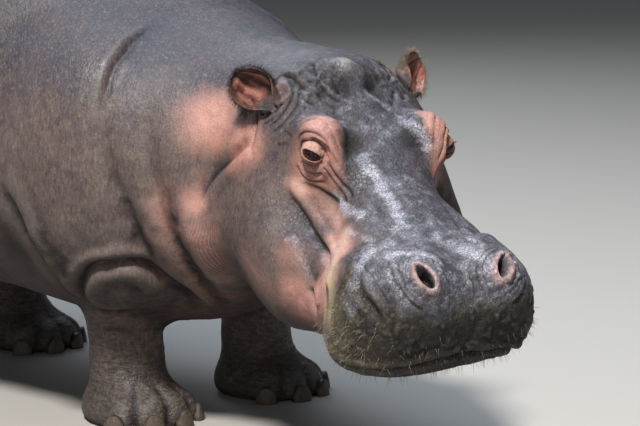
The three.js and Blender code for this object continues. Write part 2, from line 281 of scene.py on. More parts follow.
def gatherFlesh():
    points, faces, owner, start = [], [], [], 0
    for index, node in enumerate(fleshNodes):
        bm = bmesh.new()
        bm.from_mesh(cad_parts[node].data)
        bmesh.ops.remove_doubles(bm, verts=bm.verts, dist=skinPlan["weld"])
        bm.normal_update()
        points.append(np.array([v.co + v.normal * skinPlan["swell"] for v in bm.verts]))
        bm.verts.index_update()
        own = [[v.index + start for v in f.verts] for f in bm.faces]
        faces += own
        owner += [index] * len(own)
        start += len(bm.verts)
        bm.free()
    return np.concatenate(points), faces, np.array(owner)


def makeBaseSkin():
    points, faces, owner = gatherFlesh()
    skin = objectFrom("skin", points, faces)
    remesh = skin.modifiers.new("remesh", "REMESH")
    remesh.mode = "VOXEL"
    remesh.voxel_size = skinPlan["voxel"]
    applied(skin)
    tree = BVHTree.FromPolygons(points.tolist(), faces)
    nearest = np.array([owner[tree.find_nearest(v.co)[2]] for v in skin.data.vertices])
    return skin, nearest


def softenFacets(mesh, nearest):
    # takes the flat facets out and keeps the size
    edges, base = edgesOf(mesh), pointsOf(mesh)
    plan = softPlan
    strength = np.array([plan.get(name, plan["other"]) for name in fleshNodes])[nearest][:, None]
    strength = relax(strength, edges, plan["weight"], plan["blendRounds"])
    soft = relax(base, edges, plan["weight"] * strength, plan["rounds"])
    setPoints(mesh, soft)
    gap = ((base - soft) * normalsOf(mesh)).sum(1, keepdims=True)
    gap = relax(gap, edges, plan["weight"] * strength, plan["rounds"])
    setPoints(mesh, soft + normalsOf(mesh) * gap)


def refine(mesh, wanted):
    # splits the faces whose corners are all wanted, and rounds them
    bm = bmesh.new()
    bm.from_mesh(mesh)
    edges = {e for f in bm.faces if all(wanted[v.index] for v in f.verts) for e in f.edges}
    bmesh.ops.subdivide_edges(bm, edges=list(edges), cuts=1, use_grid_fill=True)
    bm.to_mesh(mesh)
    bm.free()


skin, nearestNode = makeBaseSkin()
softenFacets(skin.data, nearestNode)
print("base skin", len(skin.data.polygons), "faces")


# where the skin gets finer: metres on the body, millimetres on the head
detailPlan = {"foreEnd": -0.33, "foreTop": 1.0, "foreSide": 0.3, "feet": 0.2, "headBack": -330,
              "faceBack": -235, "faceLow": -380, "faceSide": 300,
              "eye": (0, 140, -5), "eyeReach": 62, "nostril": (402, 78, -10), "nostrilReach": 46,
              "shrink": 0.5, "grow": -0.47}


def nearPair(h, place, reach):
    both = [mirrored(place), place]
    return np.linalg.norm(h[:, None] - both, axis=2).min(1) < reach


def inDetail(level, points):
    plan = detailPlan
    h = toHead(points)
    if level == 1:
        fore = (points < [plan["foreSide"], plan["foreEnd"], plan["foreTop"]]).all(1)
        return (h[:, 0] > plan["headBack"]) | fore | (points[:, 2] < plan["feet"])
    if level == 2:
        ahead = (h[:, 0] > plan["faceBack"]) & (h[:, 2] > plan["faceLow"])
        return ahead & (np.abs(h[:, 1]) < plan["faceSide"])
    return nearPair(h, plan["eye"], plan["eyeReach"]) | nearPair(h, plan["nostril"], plan["nostrilReach"])


def refineSkin(mesh):
    for level in (1, 2, 3):
        refine(mesh, inDetail(level, pointsOf(mesh)))
        points, edges = pointsOf(mesh), edgesOf(mesh)
        inside = relax(inDetail(level, points).astype(float)[:, None], edges, 0.5, 2)
        for weight in (detailPlan["shrink"], detailPlan["grow"]):
            points = relax(points, edges, weight * inside, 2)
        setPoints(mesh, points)


refineSkin(skin.data)
print("fine skin", len(skin.data.polygons), "faces")


# ears: thick cups on short stalks
earPlan = {"length": 92, "sink": 26, "stalk": 19, "halfWidth": 41, "widest": 0.6, "thick": 7, "rim": 2.2,
           "tubeAngle": 160, "cupAngle": 74, "tipAngle": 46, "across": 49, "rows": 44, "weld": 2e-5,
           "joinReach": 0.07, "joinRounds": 9, "middle": 50}
earPlaces = {"right": {"seat": (-180, -158, -5), "points": (-0.6, -0.7, 0.41), "faces": (0.64, -0.64, 0.42)},
             "left": {"seat": (-180, 130, 14), "points": (-0.74, 0.58, 0.34), "faces": (0.75, 0.47, 0.47)}}


def earFrame(side):
    place = earPlaces[side]
    along = unit(place["points"])
    out = unit(np.array(place["faces"]) - along * (along @ np.array(place["faces"])))
    return np.array(place["seat"], dtype=float), np.array([along, np.cross(along, out), out])


def earShell(s, t):
    # middle surface in the ear's own frame: along, across, out
    plan = earPlan
    widen = smooth(0.12, plan["widest"], t)
    roundTip = np.sqrt(np.clip(1 - (np.clip(t - plan["widest"], 0, 1) / (1 - plan["widest"])) ** 2, 0, 1))
    width = (plan["stalk"] + (plan["halfWidth"] - plan["stalk"]) * widen) * roundTip
    angle = np.radians(plan["tubeAngle"] + (plan["cupAngle"] - plan["tubeAngle"]) * widen
                       + (plan["tipAngle"] - plan["cupAngle"]) * smooth(0.6, 1, t))
    radius = width / np.where(angle < math.pi / 2, np.sin(angle), 1)
    back = -16 - 6 * np.sin(t * math.pi) + 16 * smooth(0.7, 1, t)
    turn = s * angle
    length = plan["length"] + plan["sink"]
    along = length * t - plan["sink"] + 5 * np.sin(s * 5 + 1) * widen * roundTip
    across = radius * np.sin(turn)
    out = back + radius * (1 - np.cos(turn)) + 3 * np.sin(9 * s + 6 * t) * widen * roundTip
    return np.stack([along, across, out], axis=-1)


def makeEar(side):
    across, rows = earPlan["across"], earPlan["rows"]
    s, t = np.meshgrid(np.linspace(-1, 1, across), np.linspace(0, 1, rows) ** 0.92)
    middle = earShell(s, t)
    du = np.gradient(middle, axis=1)
    dv = np.gradient(middle, axis=0)
    normal = unit(np.cross(du, dv) + 1e-9)
    edge = np.minimum(smooth(0, 0.3, 1 - np.abs(s)), smooth(0, 0.12, 1 - t))
    thick = (earPlan["rim"] + (earPlan["thick"] - earPlan["rim"]) * edge)[..., None]
    wobble = noise(middle.reshape(-1, 3), 13, 5, 2).reshape(s.shape)[..., None] * edge[..., None]
    ribs = (np.sin(s * 16 + 4 * t) * 0.8 * smooth(0.2, 0.5, t) * edge)[..., None]
    upper = middle + normal * (thick / 2 + wobble * 1.6)
    lower = middle - normal * (thick / 2 - wobble * 1.2 - ribs)
    points = np.concatenate([upper.reshape(-1, 3), lower.reshape(-1, 3)])
    seat, axes = earFrame(side)
    ear = objectFrom("earShape", fromHead(points @ axes + seat), sheetFaces(rows, across))
    faceOutwards(ear.data, earPlan["weld"])
    return ear


def alreadyThere(points, others, reach=2e-6):
    tree = KDTree(len(others))
    for i, p in enumerate(others):
        tree.insert(p, i)
    tree.balance()
    return np.array([tree.find(p)[2] < reach for p in points])


def joinEars(skin):
    for side in ("right", "left"):
        seat = fromHead(earFrame(side)[0])
        before = pointsOf(skin.data)
        ear = makeEar(side)
        known = np.concatenate([before, pointsOf(ear.data)])
        combine(skin, ear, "UNION")
        # the new points along the join are eased together with those beside them
        points, edges = pointsOf(skin.data), edgesOf(skin.data)
        close = np.linalg.norm(points - seat, axis=1) < earPlan["joinReach"]
        near = np.nonzero(close)[0]
        knownNear = known[np.linalg.norm(known - seat, axis=1) < earPlan["joinReach"] + 0.005]
        fresh = ~alreadyThere(points[near], knownNear)
        weight = np.zeros((len(points), 1))
        weight[near[fresh]] = 1
        for _ in range(4):
            weight = np.maximum(weight, relax(weight, edges, 1, 1) * 1.6)
        weight = np.clip(weight, 0, 1)
        weight[~close] = 0
        setPoints(skin.data, relax(points, edges, 0.5 * weight, earPlan["joinRounds"]))


joinEars(skin)
print("ears joined", len(skin.data.polygons), "faces")


# broad shapes: place, reach and height, given for the right side and repeated on the left
swellings = [
    {"at": (50, -182, -96), "reach": 66, "height": -32},      # hollow under the eye
    {"at": (150, -165, -100), "reach": 58, "height": -12},
    {"at": (-165, -5, 50), "reach": 95, "height": -4},        # top of the head
    {"at": (-385, 0, 0), "reach": 60, "height": 8},           # nape
    {"at": (-60, -15, 45), "reach": 80, "height": -8},        # between the brows
    {"at": (-58, -62, 38), "reach": 34, "height": -8},        # beside the brow
    {"at": (-25, -112, 40), "reach": 44, "height": 15},       # brow
    {"at": (24, -72, 22), "reach": 34, "height": -13},        # in front of the brow
    {"at": (-105, -90, 55), "reach": 45, "height": -7},       # behind the brow
    {"at": (392, -78, 2), "reach": 62, "height": 7},          # nostril mound
    {"at": (300, -105, -60), "reach": 52, "height": 7},       # tusk root
    {"at": (345, 0, -18), "reach": 46, "height": -7},         # between the nostrils
    {"at": (150, -70, -35), "reach": 60, "height": 4},
    {"at": (-191, -10, 65), "reach": 30, "height": 19},       # wart on the poll
    {"at": (-160, 18, 62), "reach": 26, "height": 8, "only": True},
    {"at": (-134, -34, 55), "reach": 20, "height": -13},
    {"at": (58, 180, -100), "reach": 62, "height": -15, "only": True},   # far hollow
    {"at": (335, -152, -226), "reach": 62, "height": 15, "only": True},  # lower lip
    {"at": (395, -125, -216), "reach": 50, "height": 6, "only": True},
    {"at": (464, 104, -140), "reach": 46, "height": -9, "only": True},   # corner of the upper lip
]
bodySwellings = [
    {"at": (-0.295, -0.456, 0.312), "reach": 0.082, "height": 0.040},   # knob over the wrist
    {"at": (-0.33, -0.50, 0.42), "reach": 0.09, "height": 0.012},
    {"at": (-0.272, -0.69, 0.46), "reach": 0.088, "height": 0.024},     # behind the cheek
    {"at": (-0.232, -0.685, 0.385), "reach": 0.085, "height": 0.020},
    {"at": (-0.26, -0.44, 0.19), "reach": 0.075, "height": -0.008},
    {"at": (-0.38, -0.375, 0.41), "reach": 0.075, "height": 0.014},     # above the elbow
    {"at": (-0.37, -0.235, 0.37), "reach": 0.09, "height": -0.014},
]


def raiseLip(h):
    # the lower lip and chin lie higher towards the left
    share = smooth(215, 390, h[:, 0]) * smooth(-105, -195, h[:, 2])
    h = h.copy()
    h[:, 2] += share * (4 + 19 * smooth(-50, 110, h[:, 1]))
    return h


def swellSkin(points, normals):
    h = toHead(points)
    lift = np.zeros(len(points))
    for item in swellings:
        for flip in (False, True):
            at = mirrored(item["at"]) if flip else np.array(item["at"])
            if flip and (abs(item["at"][1]) < 20 or item.get("only")):
                continue
            lift += item["height"] / 1000 * bell(np.linalg.norm(h - at, axis=1) / item["reach"])
    for item in bodySwellings:
        for side in (1, -1):
            at = np.array(item["at"]) * [side, 1, 1]
            lift += item["height"] * bell(np.linalg.norm(points - at, axis=1) / item["reach"])
    return points + normals * lift[:, None]


def nearPath(points, path, reach):
    # which points lie near a path, how far along it, and their offset from it
    low, high = path.min(0) - reach, path.max(0) + reach
    index = np.nonzero(((points > low) & (points < high)).all(1))[0]
    if not len(index):
        return index, None, None, None
    away = np.linalg.norm(points[index][:, None] - path[None], axis=2)
    step = away.argmin(1)
    keep = away[np.arange(len(index)), step] < reach
    index, step = index[keep], step[keep]
    tangent = unit(np.gradient(path, axis=0))[step]
    offset = points[index] - path[step]
    offset -= tangent * (offset * tangent).sum(1, keepdims=True)
    return index, step / (len(path) - 1), offset, tangent


foldPlan = {"steps": 60, "margin": 0.08, "easing": 14, "far": 0.15, "roll": 0.5, "pinch": 0.35, "steep": 0.7,
            "fade": 0.15}


def snapTo(points, path):
    # lays a path on the skin and eases it
    found = np.array([points[((points - p) ** 2).sum(1).argmin()] for p in path])
    for _ in range(foldPlan["easing"]):
        found[1:-1] = 0.5 * found[1:-1] + 0.25 * (found[:-2] + found[2:])
    return found


def foldSkin(points, normals, fold, flip):
    # a crease along a path, with a roll of skin on the side of "toward"
    plan = foldPlan
    onBody = fold.get("frame") == "body"
    swap = ([-1, 1, 1] if onBody else [1, -1, 1]) if flip else [1, 1, 1]
    path = curveThrough(np.array(fold["path"], dtype=float) * swap, plan["steps"])
    toward = np.array(fold["toward"], dtype=float) * swap
    if onBody:
        path, toward = path / 1000, toward / 1000
    else:
        path, toward = fromHead(raiseLip(path)), fromHead(toward)
    width = fold["width"] / 1000
    low, high = path.min(0) - plan["margin"], path.max(0) + plan["margin"]
    local = np.nonzero(((points > low) & (points < high)).all(1))[0]
    if not len(local):
        return points
    path = snapTo(points[local], path)
    index, along, offset, tangent = nearPath(points, path, width * 5)
    if not len(index):
        return points
    n = normals[index]
    across = unit(np.cross(tangent, n))
    middle = path[len(path) // 2]
    lean = unit(np.cross(unit(path[-1] - path[0]), unit(n.mean(0))))
    if (toward - middle) @ lean < 0:
        across = -across
    d = (offset * across).sum(1)
    fade = smooth(0, fold.get("fadeIn", plan["fade"]), along)
    fade = fade * smooth(0, fold.get("fadeOut", plan["fade"]), 1 - along)
    uneven = 1 + 0.3 * noise(points[index] * 1000, 26, 31, 1)
    depth = fold["depth"] / 1000 * fade * uneven
    steep = np.where(d > 0, fold.get("steep", plan["steep"]), 1.35) * width
    move = -depth * bell(d / steep)
    move += fold.get("roll", plan["roll"]) * depth * bell((d - 1.7 * width) / (1.25 * width))
    move += fold.get("far", plan["far"]) * depth * bell((d + 2.4 * width) / (1.6 * width))
    pinch = -fold.get("pinch", plan["pinch"]) * d * fade * bell(d / (1.6 * width))
    points = points.copy()
    points[index] += n * move[:, None] + across * pinch[:, None]
    return points


# lids: a dome over the ball inside a groove, with an almond slit
lidPlan = {"ball": 24, "lid": 2.6, "dome": 24, "grooveDepth": 5, "outer": 33, "reach": 75, "behind": -14,
           "foldOver": 3.0, "ringLower": 0.7, "ringUpper": 1.5,
           "slitHalf": 50, "slitUp": 18, "slitDown": 25, "slitTilt": 16}
gaze = {"right": (0.8, -0.5, 0.33), "left": (0.8, 0.5, 0.33)}


def eyeFrame(side):
    # middle of the ball, then the axes forward along the slit, up, and out
    out = unit(gaze[side])
    front = unit(np.array([1, 0, 0]) - out * out[0])
    up = np.cross(out, front) * (1 if side == "right" else -1)
    tilt = math.radians(lidPlan["slitTilt"])
    along = front * math.cos(tilt) + up * math.sin(tilt)
    above = up * math.cos(tilt) - front * math.sin(tilt)
    return toHead(eyeMiddles[side]), np.array([along, above, out])


def shapeLids(points, side):
    plan = lidPlan
    middle, axes = eyeFrame(side)
    local = (toHead(points) - middle) @ axes.T
    index = np.nonzero((np.linalg.norm(local, axis=1) < plan["reach"]) & (local[:, 2] > plan["behind"]))[0]
    q = local[index]
    rise = np.sin(np.arctan2(q[:, 1], q[:, 0]))
    off = np.hypot(q[:, 0], q[:, 1])
    dome = plan["dome"] + 1.5 * rise + 0.8 * noise(q, 12, 3, 1)
    radius = plan["ball"] + plan["lid"]
    cap = np.sqrt(np.clip(radius ** 2 - np.minimum(off, dome) ** 2, 0, None))
    rim = np.sqrt(np.clip(radius ** 2 - dome ** 2, 0, None))
    groove = np.minimum(rim + 1, q[:, 2] - plan["grooveDepth"] * 0.4)
    outside = smooth(0, 1, (off - dome) / (plan["outer"] - plan["dome"]))
    blended = groove + (q[:, 2] - groove) * outside
    height = np.where(off < dome, cap, blended)
    upper = smooth(-0.5, 0.7, rise)
    height += upper * plan["foldOver"] * bell((off - plan["outer"] - 1) / 6)
    height = np.where(off > plan["outer"] + 14, q[:, 2], height)
    # fine rings on the lower lid and over the dome
    lower = smooth(0.1, -0.5, rise)
    height += lower * plan["ringLower"] * np.cos((off - 17) * 1.5) * bell((off - 19) / 6)
    height -= upper * plan["ringUpper"] * bell((off - 20) / 2.2) * (off < 26)
    q[:, 2] = height
    points = points.copy()
    points[index] = fromHead(q @ axes + middle)
    return points


eyeFolds = [
    {"path": [(36, -128, 14), (48, -122, -8), (66, -101, -31), (86, -89, -37), (108, -84, -46)],
     "toward": (60, -80, 10), "width": 4.2, "depth": 3.2, "fadeIn": 0.1},
    {"path": [(36, -139, -13), (51, -123, -26), (62, -110, -38), (87, -98, -48), (112, -95, -60)],
     "toward": (60, -90, 0), "width": 3.6, "depth": 2.3},
    {"path": [(-16, -157, -30), (1, -153, -48), (20, -144, -48), (41, -135, -30)],
     "toward": (20, -145, -20), "width": 4, "depth": 3.6, "steep": 0.5},
    {"path": [(-24, -158, -44), (0, -154, -62), (28, -143, -60), (50, -128, -46)],
     "toward": (20, -145, -30), "width": 4, "depth": 2, "steep": 0.6},
    {"path": [(4, -160, -70), (40, -143, -68), (66, -121, -64), (92, -108, -64)],
     "toward": (30, -140, -40), "width": 6, "depth": 3.2},
    {"path": [(-38, -156, -12), (-38, -147, 14), (-9, -138, 31), (15, -127, 31), (39, -118, 17),
              (56, -104, -8)], "toward": (-10, -105, 45), "width": 4.4, "depth": 3.2},
    {"path": [(-58, -146, -6), (-56, -132, 24), (-20, -118, 44), (18, -104, 42), (44, -92, 22)],
     "toward": (-30, -80, 60), "width": 5, "depth": 2.2},
    {"path": [(-60, -90, 44), (-40, -68, 36), (-4, -66, 27), (30, -76, 14), (50, -84, -4)],
     "toward": (-20, -118, 45), "width": 12, "depth": 2.5, "pinch": 0.0},
    {"path": [(-62, -158, -6), (-82, -160, -12), (-104, -160, -16)],
     "toward": (-80, -150, 20), "width": 5, "depth": 2},
    {"path": [(-60, -160, -22), (-80, -166, -34), (-96, -170, -48)],
     "toward": (-80, -150, 0), "width": 5, "depth": 1.8},
]
# from the corner of the mouth to the middle of the lip
mouthPath = [(236, -178, -127), (268, -186, -140), (291, -189, -158), (302, -188, -180), (306, -181, -206),
             (314, -171, -227), (336, -166, -231), (365, -159, -224), (397, -149, -212), (431, -134, -192),
             (455, -111, -175), (464, -80, -160), (468, -46, -149), (468, 0, -146)]
faceFolds = [
    {"path": [(-30, -176, -76), (17, -175, -96), (73, -162, -107), (136, -156, -115), (200, -163, -116),
              (226, -176, -128), (250, -188, -156)],
     "toward": (180, -130, -80), "width": 9, "depth": 8, "roll": 0.8, "steep": 0.7, "fadeIn": 0.35},
    {"path": [(60, -175, -120), (110, -178, -135), (160, -185, -150), (205, -190, -165)],
     "toward": (60, -210, -180), "width": 13, "depth": 4, "roll": 0.6, "pinch": 0.1},
    {"path": [(-30, 168, -50), (0, 170, -76), (30, 172, -96), (60, 172, -118), (80, 172, -150)], "only": True,
     "toward": (60, 190, -60), "width": 8, "depth": 5},
    {"path": [(-20, 160, -34), (14, 164, -60), (50, 166, -84), (84, 160, -104)], "only": True,
     "toward": (60, 190, -40), "width": 7, "depth": 4},
    {"path": mouthPath, "toward": (350, -150, -150), "width": 6.5, "depth": 12, "roll": 0.5, "fadeOut": 0.001,
     "fadeIn": 0.3, "steep": 0.6, "pinch": 0.4, "far": 0.4},
    {"path": [(190, -172, -182), (214, -172, -192), (236, -178, -206)], "toward": (230, -160, -150),
     "width": 8, "depth": 6},
    {"path": [(318, -164, -66), (346, -166, -70), (380, -162, -77), (426, -142, -90)],
     "toward": (390, -130, -30), "width": 9, "depth": 7, "roll": 0.6, "pinch": 0.2, "steep": 1.0},
    {"path": [(300, -158, -46), (340, -154, -46), (384, -146, -56), (420, -130, -70)],
     "toward": (390, -120, -20), "width": 8, "depth": 1.6, "roll": 0.5},
    {"path": [(300, -178, -92), (345, -176, -100), (390, -164, -106)], "toward": (390, -150, -60),
     "width": 9, "depth": 3, "roll": 0.6, "pinch": 0.1},
    {"path": [(252, -176, -130), (228, -166, -106), (230, -150, -72), (248, -122, -46), (266, -84, -26),
              (280, -52, -16)],
     "toward": (330, -120, -60), "width": 13, "depth": 6, "roll": 0.5, "pinch": 0.1, "steep": 1.0},
    {"path": [(356, -124, -14), (376, -128, -20), (406, -126, -30), (440, -108, -44), (456, -86, -50)],
     "toward": (412, -80, -17), "width": 4.5, "depth": 3.4},
    {"path": [(344, -112, -10), (358, -116, -10), (380, -118, -14), (410, -114, -22)],
     "toward": (412, -80, -17), "width": 4, "depth": 3},
    {"path": [(300, -50, -12), (330, -62, -2), (356, -52, 0), (372, -38, -8)], "toward": (390, -78, 0),
     "width": 6, "depth": 3},
    {"path": [(452, -30, -60), (470, -18, -90), (474, -6, -130)], "toward": (460, -60, -100),
     "width": 9, "depth": 2.2, "pinch": 0.1},
    {"path": [(150, -60, -42), (210, -66, -44), (262, -62, -38)], "toward": (210, -20, -30),
     "width": 8, "depth": 2.2, "pinch": 0.1},
    {"path": [(-140, -90, 50), (-112, -80, 52), (-84, -60, 46)], "toward": (-80, -90, 50),
     "width": 7, "depth": 3},
    {"path": [(-190, -50, 62), (-165, -62, 58), (-140, -55, 60)], "toward": (-200, -90, 50),
     "width": 6, "depth": 3},
    {"path": [(-215, -90, 44), (-190, -98, 46), (-160, -84, 52)], "toward": (-220, -120, 40),
     "width": 6, "depth": 3.5},
    {"path": [(-150, -118, 34), (-132, -112, 40), (-112, -104, 44)], "toward": (-120, -130, 40),
     "width": 6, "depth": 3},
    {"path": [(-236, -118, 24), (-204, -112, 36), (-174, -107, 39), (-150, -100, 44)],
     "toward": (-200, -80, 50), "width": 7, "depth": 5, "roll": 0.8, "only": True},
    {"path": [(-170, -74, 52), (-150, -74, 51), (-123, -60, 52), (-108, -40, 52)], "toward": (-150, -40, 60),
     "width": 7, "depth": 5, "roll": 0.8, "only": True},
    {"path": [(-226, -60, 52), (-200, -70, 52), (-180, -66, 54)], "toward": (-210, -40, 60),
     "width": 7, "depth": 4, "only": True},
]
earFolds = [
    {"path": [(-214, -124, 30), (-180, -122, 34), (-150, -136, 18), (-136, -158, -10), (-146, -176, -36)],
     "toward": (-180, -158, 0), "width": 4, "depth": 3.6},
    {"path": [(-220, -110, 38), (-180, -108, 42), (-136, -126, 26), (-118, -156, -10), (-128, -178, -44)],
     "toward": (-180, -158, 0), "width": 4.4, "depth": 2.6},
    {"path": [(-166, -96, 48), (-128, -110, 38), (-104, -140, 14), (-102, -162, -20)],
     "toward": (-160, -140, 10), "width": 5, "depth": 1.6},
    {"path": [(-150, -134, 22), (-142, -150, 4), (-148, -168, -18), (-160, -182, -40)],
     "toward": (-180, -150, 0), "width": 4, "depth": 4.5},
    {"path": [(-162, -132, 26), (-154, -150, 8), (-158, -168, -14), (-168, -182, -34)],
     "toward": (-190, -150, 0), "width": 4, "depth": 4.5},
    {"path": [(-196, -180, -30), (-170, -188, -46), (-150, -194, -70), (-140, -198, -96)],
     "toward": (-120, -180, -60), "width": 7, "depth": 5},
]
neckFolds = [
    {"path": [(-305, -835, 650), (-302, -780, 612), (-298, -725, 565), (-293, -698, 518), (-288, -684, 475)],
     "frame": "body", "toward": (-350, -880, 520), "width": 14, "depth": 10, "roll": 0.7, "pinch": 0.12,
     "fadeOut": 0.6},
    {"path": [(-296, -556, 745), (-318, -578, 690), (-330, -596, 602), (-313, -615, 497), (-290, -628, 440),
              (-265, -632, 399), (-225, -630, 345), (-170, -615, 295), (-100, -590, 262)], "frame": "body",
     "toward": (-330, -560, 420), "width": 18, "depth": 15, "roll": 0.5, "far": 0.4, "pinch": 0.1,
     "fadeIn": 0.7},
    {"path": [(-340, -480, 740), (-366, -492, 690), (-380, -512, 600), (-354, -542, 498), (-326, -553, 430),
              (-279, -562, 362), (-210, -580, 310), (-130, -570, 262)], "frame": "body",
     "toward": (-280, -600, 450), "width": 24, "depth": 15, "roll": 0.5, "far": 0.3, "pinch": 0.1,
     "fadeIn": 0.7},
    {"path": [(-191, -480, 856), (-232, -478, 839), (-272, -474, 816), (-307, -474, 788), (-338, -478, 748),
              (-364, -482, 700), (-384, -486, 640)], "frame": "body", "only": True,
     "toward": (-330, -425, 830), "width": 8, "depth": 8, "roll": 0.7, "far": 0.2, "steep": 1.0, "pinch": 0.3,
     "fadeIn": 0.45, "fadeOut": 0.6},
    {"path": [(-160, -486, 870), (-232, -486, 839), (-300, -484, 791), (-350, -486, 730), (-374, -490, 640)],
     "frame": "body", "toward": (-330, -425, 830), "width": 24, "depth": 7, "roll": 0.5, "pinch": 0,
     "fadeIn": 0.4, "fadeOut": 0.4},
    {"path": [(-292, -350, 262), (-308, -376, 297), (-345, -416, 350), (-349, -458, 379), (-321, -517, 386),
              (-284, -549, 362), (-250, -568, 320), (-226, -566, 280)], "frame": "body",
     "toward": (-420, -400, 440), "width": 12, "depth": 20, "roll": 0.5, "far": 0.4, "steep": 0.9,
     "pinch": 0.4, "fadeIn": 0.3, "fadeOut": 0.35},
    {"path": [(-430, -225, 550), (-425, -258, 513), (-421, -285, 473), (-406, -304, 426), (-385, -326, 384),
              (-344, -337, 331), (-285, -328, 280)], "frame": "body", "toward": (-380, -450, 420),
     "width": 17, "depth": 16, "roll": 0.7, "far": 0.1, "pinch": 0.2, "fadeIn": 0.6, "fadeOut": 0.2},
    {"path": [(-300, -385, 252), (-292, -430, 240), (-262, -480, 246)], "frame": "body",
     "toward": (-300, -450, 300), "width": 12, "depth": 4, "pinch": 0.1, "fadeIn": 0.4, "fadeOut": 0.4},
    {"path": [(-290, -380, 205), (-280, -425, 198), (-256, -465, 204)], "frame": "body",
     "toward": (-300, -450, 240), "width": 9, "depth": 3, "fadeIn": 0.4, "fadeOut": 0.4},
    {"path": [(-415, 520, 640), (-430, 560, 520), (-410, 600, 420), (-350, 640, 340)], "frame": "body",
     "toward": (-430, 800, 500), "width": 40, "depth": 12, "roll": 0.5, "pinch": 0,
     "fadeIn": 0.5, "fadeOut": 0.5},
]


def pleats(points):
    # fine parallel lines low on the cheek: where they are, and millimetres across them
    h = toHead(points)
    area = smooth(120, 60, np.abs(h[:, 2] + 365)) * smooth(80, 40, np.abs(h[:, 0] + 140))
    area *= smooth(110, 150, np.abs(h[:, 1]))
    return area, h[:, 0] + 0.2 * (h[:, 2] + 350) + 10 * noise(h, 70, 12, 1)


nostrilPlan = {"right": (413, -79, -16), "left": (405, 73, -9), "halfLong": 24, "halfWide": 10, "deep": 27,
               "rim": 8, "rimWide": 9, "gutter": 2.6, "ring": 1.2, "ringApart": 9, "reach": 60}


def nostrilField(points, side):
    # height over a nostril, share of the way to its edge, and millimetres past the edge
    plan = nostrilPlan
    sign = -1 if side == "right" else 1
    along = unit([0.946, -sign * 0.31, -0.12])
    rise = np.array([0.42, sign * 0.30, 0.86])
    out = unit(rise - along * (along @ rise))
    h = toHead(points) - plan[side]
    x, y, z = h @ along, h @ np.cross(out, along), h @ out
    narrow = plan["halfWide"] * (1 + 0.25 * smooth(-25, 20, x))
    oval = np.hypot(x / plan["halfLong"], y / narrow)
    past = np.hypot(x, y) * (1 - 1 / np.maximum(oval, 0.05))
    return z, oval, past, out


def shapeNostrils(points, normals):
    plan = nostrilPlan
    for side in ("right", "left"):
        z, oval, past, out = nostrilField(points, side)
        near = (np.abs(z) < 45) & (past < plan["reach"])
        rough = noise(toHead(points), 20, 8, 1)
        lift = plan["rim"] * bell((past - 5) / plan["rimWide"]) - plan["deep"] * smooth(1.08, 0.5, oval)
        lift -= plan["gutter"] * bell((past - 15) / 5)
        rings = np.cos((past - 23) / plan["ringApart"] * 2 * math.pi + 0.7 * rough)
        lift += plan["ring"] * rings * smooth(15, 22, past) * smooth(52, 34, past)
        points = points + np.where(near, lift, 0)[:, None] / 1000 * turnFromHead(out)
    return points


# how high the small lumps and wrinkles stand, in millimetres
crinklePlan = {"broad": 1.2, "fine": 0.5, "brow": 1.5, "poll": 3.4, "pollCrease": 3.2, "muzzle": 1.4,
               "nodule": 7.5, "cheek": 1.0, "whirl": 0.5, "knob": 1.3, "shank": 1.1, "neck": 1.0}


def around(q, place, reach):
    return bell(np.linalg.norm((q - place) / reach, axis=1))


def crinkle(points):
    plan = crinklePlan
    h, body = toHead(points), points * 1000
    sided = np.stack([h[:, 0], np.abs(h[:, 1]), h[:, 2]], axis=1)
    bodySided = np.stack([np.abs(points[:, 0]), points[:, 1], points[:, 2]], axis=1)
    lift = plan["broad"] * noise(body, 75, 2, 2) + plan["fine"] * noise(body, 24, 4, 2)
    lift += around(sided, (-10, 112, 30), 42) * (plan["brow"] * noise(h, 11, 6, 2) + 1.0)
    crease = bell(noise(h * [0.6, 1.6, 1], 22, 10, 2) / 0.16)
    poll = plan["poll"] * noise(h * [1, 1.5, 1], 19, 9, 2) - plan["pollCrease"] * crease
    lift += around(sided, (-165, 72, 40), (46, 52, 40)) * poll
    muzzle = smooth(330, 400, h[:, 0]) * smooth(-240, -150, h[:, 2])
    nodules = np.clip(noise(h, 12, 15, 1) - 0.38, 0, 1)
    lift += muzzle * (plan["muzzle"] * noise(h, 14, 14, 2) + plan["nodule"] * nodules)
    lift += around(sided, (40, 215, -220), 110) * plan["cheek"] * noise(h * [0.5, 1, 1], 26, 16, 2)
    whirl = np.linalg.norm(bodySided - (0.29, -0.43, 0.30), axis=1) * 1000
    knob = plan["whirl"] * np.sin(whirl / 2.6 + 3 * noise(body, 40, 18, 1))
    knob += plan["knob"] * noise(body, 13, 19, 2)
    lift += around(bodySided, (0.29, -0.45, 0.31), 0.07) * knob
    shank = smooth(0.30, 0.22, points[:, 2]) * smooth(0.03, 0.10, points[:, 2])
    lift += shank * plan["shank"] * noise(body * [1, 1, 2.4], 16, 21, 2)
    neck = smooth(-0.35, -0.45, points[:, 1]) * smooth(-150, -260, h[:, 0])
    lift += neck * plan["neck"] * noise(body * [1.6, 1.6, 0.6], 22, 23, 2)
    return lift


toePlan = {"padHeight": 0.006, "padWide": 0.24, "cleftDepth": 0.011, "cleftWide": 0.085,
           "footReach": 0.26, "footTop": 0.2, "riseTop": 0.10, "riseLow": 0.015}


def turnBetween(a, b):
    return (a - b + math.pi) % (2 * math.pi) - math.pi


